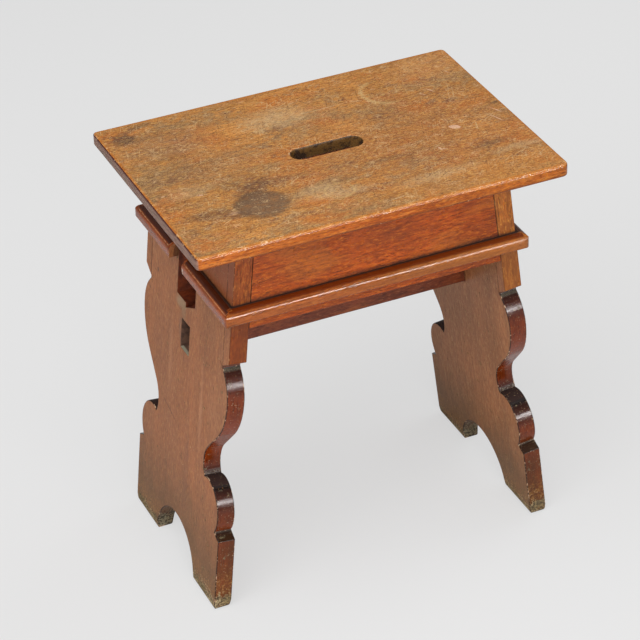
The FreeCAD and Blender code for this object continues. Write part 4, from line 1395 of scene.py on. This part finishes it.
class STOOL_OT_stage(bpy.types.Operator):
    """Sets up the floor, the lamps, the world and the camera"""

    bl_idname = "stool.stage"
    bl_label = "Stage"

    def execute(self, context):
        deselect()
        bpy.ops.mesh.primitive_plane_add(size=30, location=(0, 0, 0))
        floor = bpy.context.object
        floor.name = "floor"
        floor.data.materials.append(floor_finish())
        floor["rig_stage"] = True
        for name, place, size, power in LAMPS:
            turn = (AIM - Vector(place)).to_track_quat("-Z", "Y").to_euler()
            bpy.ops.object.light_add(type="AREA", location=place, rotation=turn)
            made = bpy.context.object
            made.name = name
            made.visible_diffuse = not name.endswith("gleam")
            made.data.shape = "RECTANGLE"
            made.data.size, made.data.size_y = size
            made.data.energy = power
        lit = bpy.data.collections.new("seat_gleam")
        lit.objects.link(bpy.data.objects["seat"])
        bpy.data.objects["high_gleam"].light_linking.receiver_collection = lit
        world = context.scene.world or bpy.data.worlds.new("world")
        context.scene.world = world
        world.use_nodes = True
        background = world.node_tree.nodes["Background"]
        background.inputs["Color"].default_value = (*BACKDROP, 1)
        background.inputs["Strength"].default_value = WORLD_STRENGTH
        context.scene.view_settings.view_transform = "Standard"
        camera()
        return {"FINISHED"}


BACKDROP, WORLD_STRENGTH = (0.79, 0.79, 0.79), 0.3
# share of the floor that is lit evenly for the camera, so that the shadows stay soft
EVEN = 0.7
# Lamps, all aimed at one point: place, length and width, power. The gleams are narrow and only
# show in the varnish, the high one along the seat's front edge.
AIM = Vector((0, 0, 0.3))
LAMPS = (
    ("key", (-1.0, -1.0, 2.5), (2.6, 2.6), 60),
    ("front", (-0.25, -1.6, 0.75), (1.0, 0.6), 9.5),
    ("right", (1.8, 0.4, 1.8), (1.4, 1.4), 11),
    ("left", (-2.2, -1.0, 0.7), (1.6, 1.0), 7),
    ("low_gleam", (0.48, -1.5, 0.66), (0.9, 0.2), 20),
    ("high_gleam", (0.45, -0.95, 1.75), (1.4, 0.12), 24),
)
# camera: place in metres, turn in degrees, lens and sensor in millimetres
CAMERA_PLACE = (-1.1293705, -2.6065842, 2.0785324)
CAMERA_TURN = (57.500121, 1.891165, -24.306403)
CAMERA_LENS, CAMERA_SENSOR = 160.44, 36


def floor_finish():
    """Pale paper, evenly bright to the camera but painted lighter towards the back, with part of
    its shading left for the shadows.
    """
    coat = Coat("studio_floor")
    coat.colour, coat.rough = (*BACKDROP, 1), 0.9
    coat.finish()
    # the paper is painted lighter towards the back: painted light
    pale = coat.mix(coat.axis("Y").ramp(-0.2, 1.2), BACKDROP, shade(BACKDROP, 1.07))
    even = coat.make("ShaderNodeLightPath", {}, "Is Camera Ray") * EVEN
    lit = Level(coat, coat.shader.outputs[0])
    glow = coat.make("ShaderNodeEmission", {"Color": pale})
    blend = coat.make("ShaderNodeMixShader", {0: even, 1: lit, 2: glow})
    coat.put(coat.tree.nodes["Material Output"].inputs["Surface"], blend)
    return coat.material


def camera():
    """Stands the camera where the stool is seen from above its front left corner."""
    turn = [math.radians(a) for a in CAMERA_TURN]
    bpy.ops.object.camera_add(location=CAMERA_PLACE, rotation=turn)
    made = bpy.context.object
    made.name = "camera"
    made.data.lens, made.data.sensor_width = CAMERA_LENS, CAMERA_SENSOR
    bpy.context.scene.camera = made


class STOOL_PT_panel(bpy.types.Panel):
    bl_label = "Shoe Fitting Stool"
    bl_idname = "STOOL_PT_panel"
    bl_space_type = "VIEW_3D"
    bl_region_type = "UI"
    bl_category = "Stool"

    def draw(self, context):
        layout = self.layout
        for group in (context.scene.stool_sizes, context.scene.stool_colours):
            for name in group.__annotations__:
                layout.prop(group, name)
        for operator in OPERATORS:
            layout.operator(operator.bl_idname)


OPERATORS = (
    STOOL_OT_seat, STOOL_OT_end_boards, STOOL_OT_corner_strips, STOOL_OT_rails,
    STOOL_OT_stretcher, STOOL_OT_mouldings, STOOL_OT_inside, STOOL_OT_age, STOOL_OT_stage,
)
CLASSES = (StoolColours, StoolSizes) + OPERATORS + (STOOL_PT_panel,)


def register():
    for made in CLASSES:
        bpy.utils.register_class(made)
    bpy.types.Scene.stool_colours = PointerProperty(type=StoolColours)
    bpy.types.Scene.stool_sizes = PointerProperty(type=StoolSizes)


def unregister():
    del bpy.types.Scene.stool_sizes
    del bpy.types.Scene.stool_colours
    for made in reversed(CLASSES):
        bpy.utils.unregister_class(made)


def main():
    register()
    for operator in OPERATORS:
        group, name = operator.bl_idname.split(".")
        getattr(getattr(bpy.ops, group), name)()
    object_mode()


if __name__ == "__main__":
    main()
